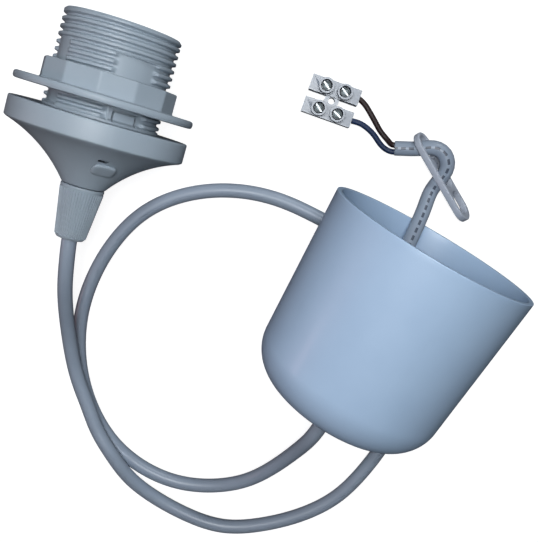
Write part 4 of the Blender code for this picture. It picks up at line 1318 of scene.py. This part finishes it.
    def _grip(self) -> None:
        """Grip nut: a tapered shell with fine ribs down its side."""
        top = -self.flange_depth - self.cone_length - GAP
        end = top - self.grip_length
        bore = FlexCord.diameter / 2.0 + FINE_EDGE
        room = self.nozzle_radius + GAP
        skin = self.rib_radius * self.rib_sunk
        corners = [(self.grip_radius, top, self.grip_edge),
                   (self.grip_radius, top - self.grip_band[0], EDGE),
                   (self.grip_radius - skin, top - self.grip_band[1], self.grip_edge),
                   (self.grip_foot - skin, end + self.grip_chamfer, EDGE),
                   (self.grip_foot - self.grip_chamfer, end, EDGE), (bore + EDGE, end, EDGE),
                   (bore, end + self.grip_hollow), (room, end + self.grip_hollow), (room, top)]
        nut = turned("grip_nut", rounded(corners), self.grip_segments, self.place)
        Workshop.finish(nut, HOLDER_PLASTIC, "cord_grip_nut")
        values = {"Ribs": self.ribs, "Top Radius": self.grip_radius - skin,
                  "Foot Radius": self.grip_foot - skin, "Top Height": top - self.rib_ends[0],
                  "Foot Height": end + self.rib_ends[1], "Rib Radius": self.rib_radius}
        ribs = NodeShapes.grow("grip_ribs", NodeShapes.ribs_around, values, HOLDER_PLASTIC, self.place)
        Workshop.finish(ribs, HOLDER_PLASTIC)

    def _lamp_thread(self) -> None:
        """The rounded thread inside the bore that takes the lamp's cap."""
        start = self.neck_length - self.lamp_start - self.lamp_rise
        values = {"Radius": self.bore + FINE_EDGE, "Rise": self.lamp_rise,
                  "Turns": self.lamp_rise / self.lamp_pitch, "Ridge": self.lamp_ridge,
                  "Steps": self.lamp_steps}
        thread = NodeShapes.grow("lamp_thread", NodeShapes.screw_line, values, HOLDER_PLASTIC,
                                 self.place @ Matrix.Translation((0.0, 0.0, start)))
        Workshop.finish(thread, HOLDER_PLASTIC)


@dataclass
class CeilingCup:
    """The plain cup that hides the ceiling hook, lying on its side."""

    rim_radius: float = 0.0368
    taper: float = 3.1
    straight: float = 0.0537
    corner: float = 0.0150
    wall: float = 0.0018
    hole: float = 0.0040
    hole_edge: float = 0.0004
    rim: Triple = (0.11991, -0.00703, 0.04320)
    heading: float = 12.8
    tilt: float = 5.75
    segments: int = 224
    side_rows: int = 12
    side_margin: float = 0.002
    corner_rows: int = 28

    @property
    def place(self) -> Matrix:
        """The cup's frame: +Z out of its mouth."""
        turn = Matrix.Rotation(-math.radians(self.heading), 4, "Z")
        lay = Matrix.Rotation(-math.pi / 2.0 + math.radians(self.tilt), 4, "X")
        return Matrix.Translation(BENCH + Vector(self.rim)) @ turn @ lay

    def build(self) -> None:
        """Make the cup's shell, with a soft rim and a soft edge at the cord's hole."""
        lean = math.radians(self.taper)
        foot = self.rim_radius - self.straight * math.tan(lean)
        across = foot - self.corner * math.cos(lean)
        along = -self.straight + self.corner * math.sin(lean)
        bottom = along - self.corner
        wall = self.wall / math.cos(lean)
        sweep = np.radians(np.linspace(-self.taper, -90.0, self.corner_rows))
        outer, inner = ([(across + radius * math.cos(turn), along + radius * math.sin(turn))
                         for turn in sweep] for radius in (self.corner, self.corner - self.wall))
        depths = np.linspace(self.side_margin, self.straight - self.side_margin, self.side_rows)
        sides = [(self.rim_radius - depth * math.tan(lean), -depth) for depth in depths]
        corners = [(self.rim_radius, 0.0, EDGE), *sides, *outer, (self.hole, bottom, self.hole_edge),
                   (self.hole, bottom + self.wall, self.hole_edge), *inner[::-1],
                   *[(radius - wall, height) for radius, height in sides[::-1]],
                   (self.rim_radius - wall, 0.0, EDGE)]
        cup = turned("cup_shell", rounded(corners), self.segments, self.place)
        Workshop.finish(cup, CUP_PLASTIC, "ceiling_cup")


@dataclass
class HangerStrap:
    """The small strap that clamps the cord and hangs on the ceiling hook.

    Attributes:
        length, width, thickness: The plate.
        centre: Its middle, on the bench.
        heading, lean: Its turn about Z and its lean from upright, in degrees.
        holes: Middle along the strap, stretch and radius of the two slots and the eye.
        soft: Rounding of its edges.
        end_steps, hole_steps: Steps in the half circles of its ends and of its holes.
    """

    length: float = 0.0374
    width: float = 0.0106
    thickness: float = 0.0025
    centre: Pair = (0.12223, 0.01526)
    heading: float = -42.2
    lean: float = 27.0
    holes: tuple[Triple, ...] = (
        (-0.0123, 0.0011, 0.0039), (-0.0003, 0.0011, 0.0039), (0.0115, 0.0009, 0.0037))
    soft: float = 0.0005
    end_steps: int = 32
    hole_steps: int = 20

    @property
    def place(self) -> Matrix:
        """The strap's frame: X along it, Y across it, Z through it."""
        turn = Matrix.Rotation(math.radians(self.heading), 4, "Z")
        tip = Matrix.Rotation(-math.radians(90.0 - self.lean), 4, "X")
        lean = math.radians(self.lean)
        height = self.width / 2.0 * math.cos(lean) + self.thickness / 2.0 * math.sin(lean)
        return Matrix.Translation(BENCH + Vector((*self.centre, height))) @ turn @ tip

    @staticmethod
    def _slot(middle: float, stretch: float, radius: float, steps: int) -> Profile:
        """Outline a slot: two half circles, stretched apart along X.

        Args:
            middle: Its middle along X.
            stretch: How far each half circle's centre lies from it.
            radius: The half circles' radius.
            steps: Steps in each.

        Returns:
            The outline's points.
        """
        outline = []
        for side, first in ((1.0, -90.0), (-1.0, 90.0)):
            for step in range(steps + 1):
                turn = math.radians(first + 180.0 * step / steps)
                outline.append((middle + side * stretch + radius * math.cos(turn),
                                radius * math.sin(turn)))
        return outline

    def build(self) -> bpy.types.Object:
        """Fill the outline and round its edges.

        Returns:
            The piece.
        """
        curve = bpy.data.curves.new("strap_outline", "CURVE")
        curve.dimensions = "2D"
        curve.fill_mode = "BOTH"
        curve.bevel_depth = self.soft
        curve.bevel_resolution = 2
        curve.offset = -self.soft
        curve.extrude = self.thickness / 2.0 - self.soft
        loops = [self._slot(0.0, (self.length - self.width) / 2.0, self.width / 2.0, self.end_steps)]
        loops += [self._slot(*hole, self.hole_steps) for hole in self.holes]
        for loop in loops:
            spline = curve.splines.new("POLY")
            spline.points.add(len(loop) - 1)
            spline.use_cyclic_u = True
            for knot, point in zip(spline.points, loop):
                knot.co = (*point, 0.0, 1.0)
        outline = Workshop.loose("strap_outline", curve)
        bpy.context.view_layer.update()
        bm = bmesh.new()
        bm.from_mesh(Workshop.settled(outline))
        bpy.data.objects.remove(outline, do_unlink=True)
        strap = Workshop.loose("strap_plate", Workshop.mesh_from(bm, "strap_plate", self.place))
        return Workshop.finish(strap, STRAP_PLASTIC, "hanger_strap")


@dataclass
class TerminalBlock:
    """Two see-through poles with metal inserts and screws, flat on the table."""

    centre: Pair = (0.0745, 0.0302)
    turn: float = -2.9
    pole: Triple = (0.0189, 0.0057, 0.0078)
    pitch: float = 0.0084
    spacing: float = 0.0071
    tower_height: float = 0.0130
    tower_radius: float = 0.0028
    well: float = 0.0021
    wire_level: float = 0.0041
    wire_bore: float = 0.0024
    insert_radius: float = 0.0021
    web_radius: float = 0.0027
    web_height: float = 0.0060
    web_hole: float = 0.00125
    through: float = 0.001   # how far a cut passes a face
    soft: float = 0.00022

    screw_radius: float = 0.0017
    screw_sink: float = 0.0012
    screw_edge: float = 0.0002
    screw_neck: Pair = (0.0016, 0.0018)   # below the head, where the shank begins
    screw_point: float = 0.0009
    screw_dish: float = 0.0008
    screw_slot: Triple = (0.006, 0.00060, 0.0009)
    screw_segments: int = 40
    screw_turns: Pair = (-54.0, -26.0)   # least and most, in degrees
    screw_seed: int = 5

    @property
    def place(self) -> Matrix:
        """The block's frame: X along the poles, Z up from the table."""
        turn = Matrix.Rotation(math.radians(self.turn), 4, "Z")
        return Matrix.Translation(BENCH + Vector((*self.centre, 0.0))) @ turn

    def build(self) -> list[bpy.types.Object]:
        """Build the housing and its screws, and dress the inserts.

        Returns:
            The block's pieces, which ride on the same body as the cord.
        """
        return [self._housing(), self._screws(),
                *Workshop.dress(NICKEL, "insert_brown", "insert_blue")]

    def _spot(self, along: float, across: float, height: float) -> Matrix:
        """A place in the block's frame."""
        return self.place @ Matrix.Translation((along, across, height))

    def _housing(self) -> bpy.types.Object:
        """Poles, towers and web in one see-through moulding.

        Returns:
            The piece.
        """
        long, _, tall = self.pole
        poles = [block_of(self.pole, self._spot(0.0, side * self.pitch / 2.0, tall / 2.0))
                 for side in (1.0, -1.0)]
        body = Workshop.loose("block_housing", poles[0])
        web = self._spot(0.0, 0.0, self.web_height / 2.0)
        joined = [poles[1], rod_of(self.web_radius, self.web_height, web)]
        cut = [rod_of(self.web_hole, 2.0 * self.tower_height, web)]
        flat = Matrix.Rotation(math.pi / 2.0, 4, "Y")
        low = self.wire_level + self.insert_radius / 2.0
        rise = self.tower_height - tall / 2.0
        depth = self.tower_height + self.through - low
        for row in (1.0, -1.0):
            across = row * self.pitch / 2.0
            wire = self._spot(0.0, across, self.wire_level) @ flat
            cut.append(rod_of(self.wire_bore, long + 2.0 * self.through, wire))
            for side in (-1.0, 1.0):
                along = side * self.spacing / 2.0
                tower = self._spot(along, across, self.tower_height - rise / 2.0)
                joined.append(rod_of(self.tower_radius, rise, tower))
                cut.append(rod_of(self.well, depth, self._spot(along, across, low + depth / 2.0)))
        Workshop.combine(body, "UNION", *joined)
        Workshop.combine(body, "DIFFERENCE", *cut)
        Workshop.soften(body, self.soft)
        return Workshop.finish(body, CLEAR_NYLON, "terminal_block")

    def _screws(self) -> bpy.types.Object:
        """Four slotted screws, each turned its own way.

        Returns:
            The piece.
        """
        head = self.tower_height - self.screw_sink
        foot = self.wire_level + self.insert_radius + GAP
        shank = self.screw_radius - EDGE
        corners = [(self.screw_radius, head - self.screw_edge, EDGE),
                   (self.screw_radius, head - self.screw_neck[0]), (shank, head - self.screw_neck[1]),
                   (shank, foot + EDGE), (self.screw_point, foot), (0.0, foot), (0.0, head),
                   (self.screw_dish, head, EDGE)]
        blank = turned("screw_blank", rounded(corners), self.screw_segments, Matrix.Identity(4))
        slot = block_of(self.screw_slot, Matrix.Translation((0.0, 0.0, head)))
        Workshop.combine(blank, "DIFFERENCE", slot)
        least, most = (math.radians(turn) for turn in self.screw_turns)
        values = {"Spacing": self.spacing, "Pitch": self.pitch, "Least Turn": least,
                  "Most Turn": most, "Seed": self.screw_seed}
        screws = NodeShapes.grow("block_screws", NodeShapes.screw_rows, values, SCREW_STEEL,
                                 self.place, blank.data)
        bpy.data.objects.remove(blank, do_unlink=True)
        return Workshop.finish(screws, SCREW_STEEL, *[f"block_screw_{number}" for number in range(1, 5)])


@dataclass
class BareCores:
    """The two cores between the stripped sheath and the terminal block.

    Attributes:
        block: The block that they end in.
        diameter: Their thickness.
        spread: How far each starts from the sheath's middle.
        back: How far they reach into the block.
        tuck: How far they start inside the sheath.
        spacing: Distance between the points that the skin follows.
        sides: Points around.
    """

    block: TerminalBlock
    diameter: float = 0.0021
    spread: float = 0.0013
    back: float = 0.0050
    tuck: float = 0.0015
    spacing: float = 0.0008
    sides: int = 20

    BROWN = ((0.0993, 0.0223, 0.0040), (0.0957, 0.0246, 0.0043), (0.0925, 0.0275, 0.0045),
             (0.0893, 0.0305, 0.0044), (0.0868, 0.0326, 0.0042))
    BLUE = ((0.0994, 0.0192, 0.0033), (0.0965, 0.0206, 0.0035), (0.0935, 0.0229, 0.0038),
            (0.0903, 0.0246, 0.0040), (0.0872, 0.0255, 0.0041))

    def build(self) -> list[bpy.types.Object]:
        """Make both cores.

        Returns:
            The two pieces.
        """
        end = Vector(FlexCord.ROUTE[-1]) + BENCH
        ahead = (Vector(FlexCord.ROUTE[-1]) - Vector(FlexCord.ROUTE[-2])).normalized()
        across = Vector((-ahead.y, ahead.x, 0.0)).normalized()
        mouth = self.block.pole[0] / 2.0
        pieces = []
        for side, word, route, look in ((-1.0, "brown", self.BROWN, BROWN_SKIN),
                                        (1.0, "blue", self.BLUE, BLUE_SKIN)):
            start = end - ahead * self.tuck + across * side * self.spread
            row = -side * self.block.pitch / 2.0
            points = [start, start + ahead * (self.tuck + self.diameter / 2.0)]
            points += [Vector(point) + BENCH for point in route]
            points += [self.block.place @ Vector((along, row, self.block.wire_level))
                       for along in (mouth, mouth - self.back)]
            walked = Route([tuple(point) for point in points]).walked(self.spacing)
            radii = np.full(len(walked), self.diameter / 2.0)
            core = tube(f"{word}_lead", walked, radii, self.sides, FINE_EDGE / 2.0)
            pieces.append(Workshop.finish(core, look, f"core_{word}"))
        return pieces


def main() -> None:
    """Build the set: camera and cord first, then each sub-assembly."""
    logging.basicConfig(level=logging.INFO, format="%(name)s %(message)s")
    PhotoCamera().build()
    cord = FlexCord()
    sheath, points = cord.build()
    block = TerminalBlock()
    carried = [HangerStrap().build(), *block.build(), *BareCores(block).build()]
    Lampholder().build()
    CeilingCup().build()
    Studio().build()


if __name__ == "__main__":
    main()
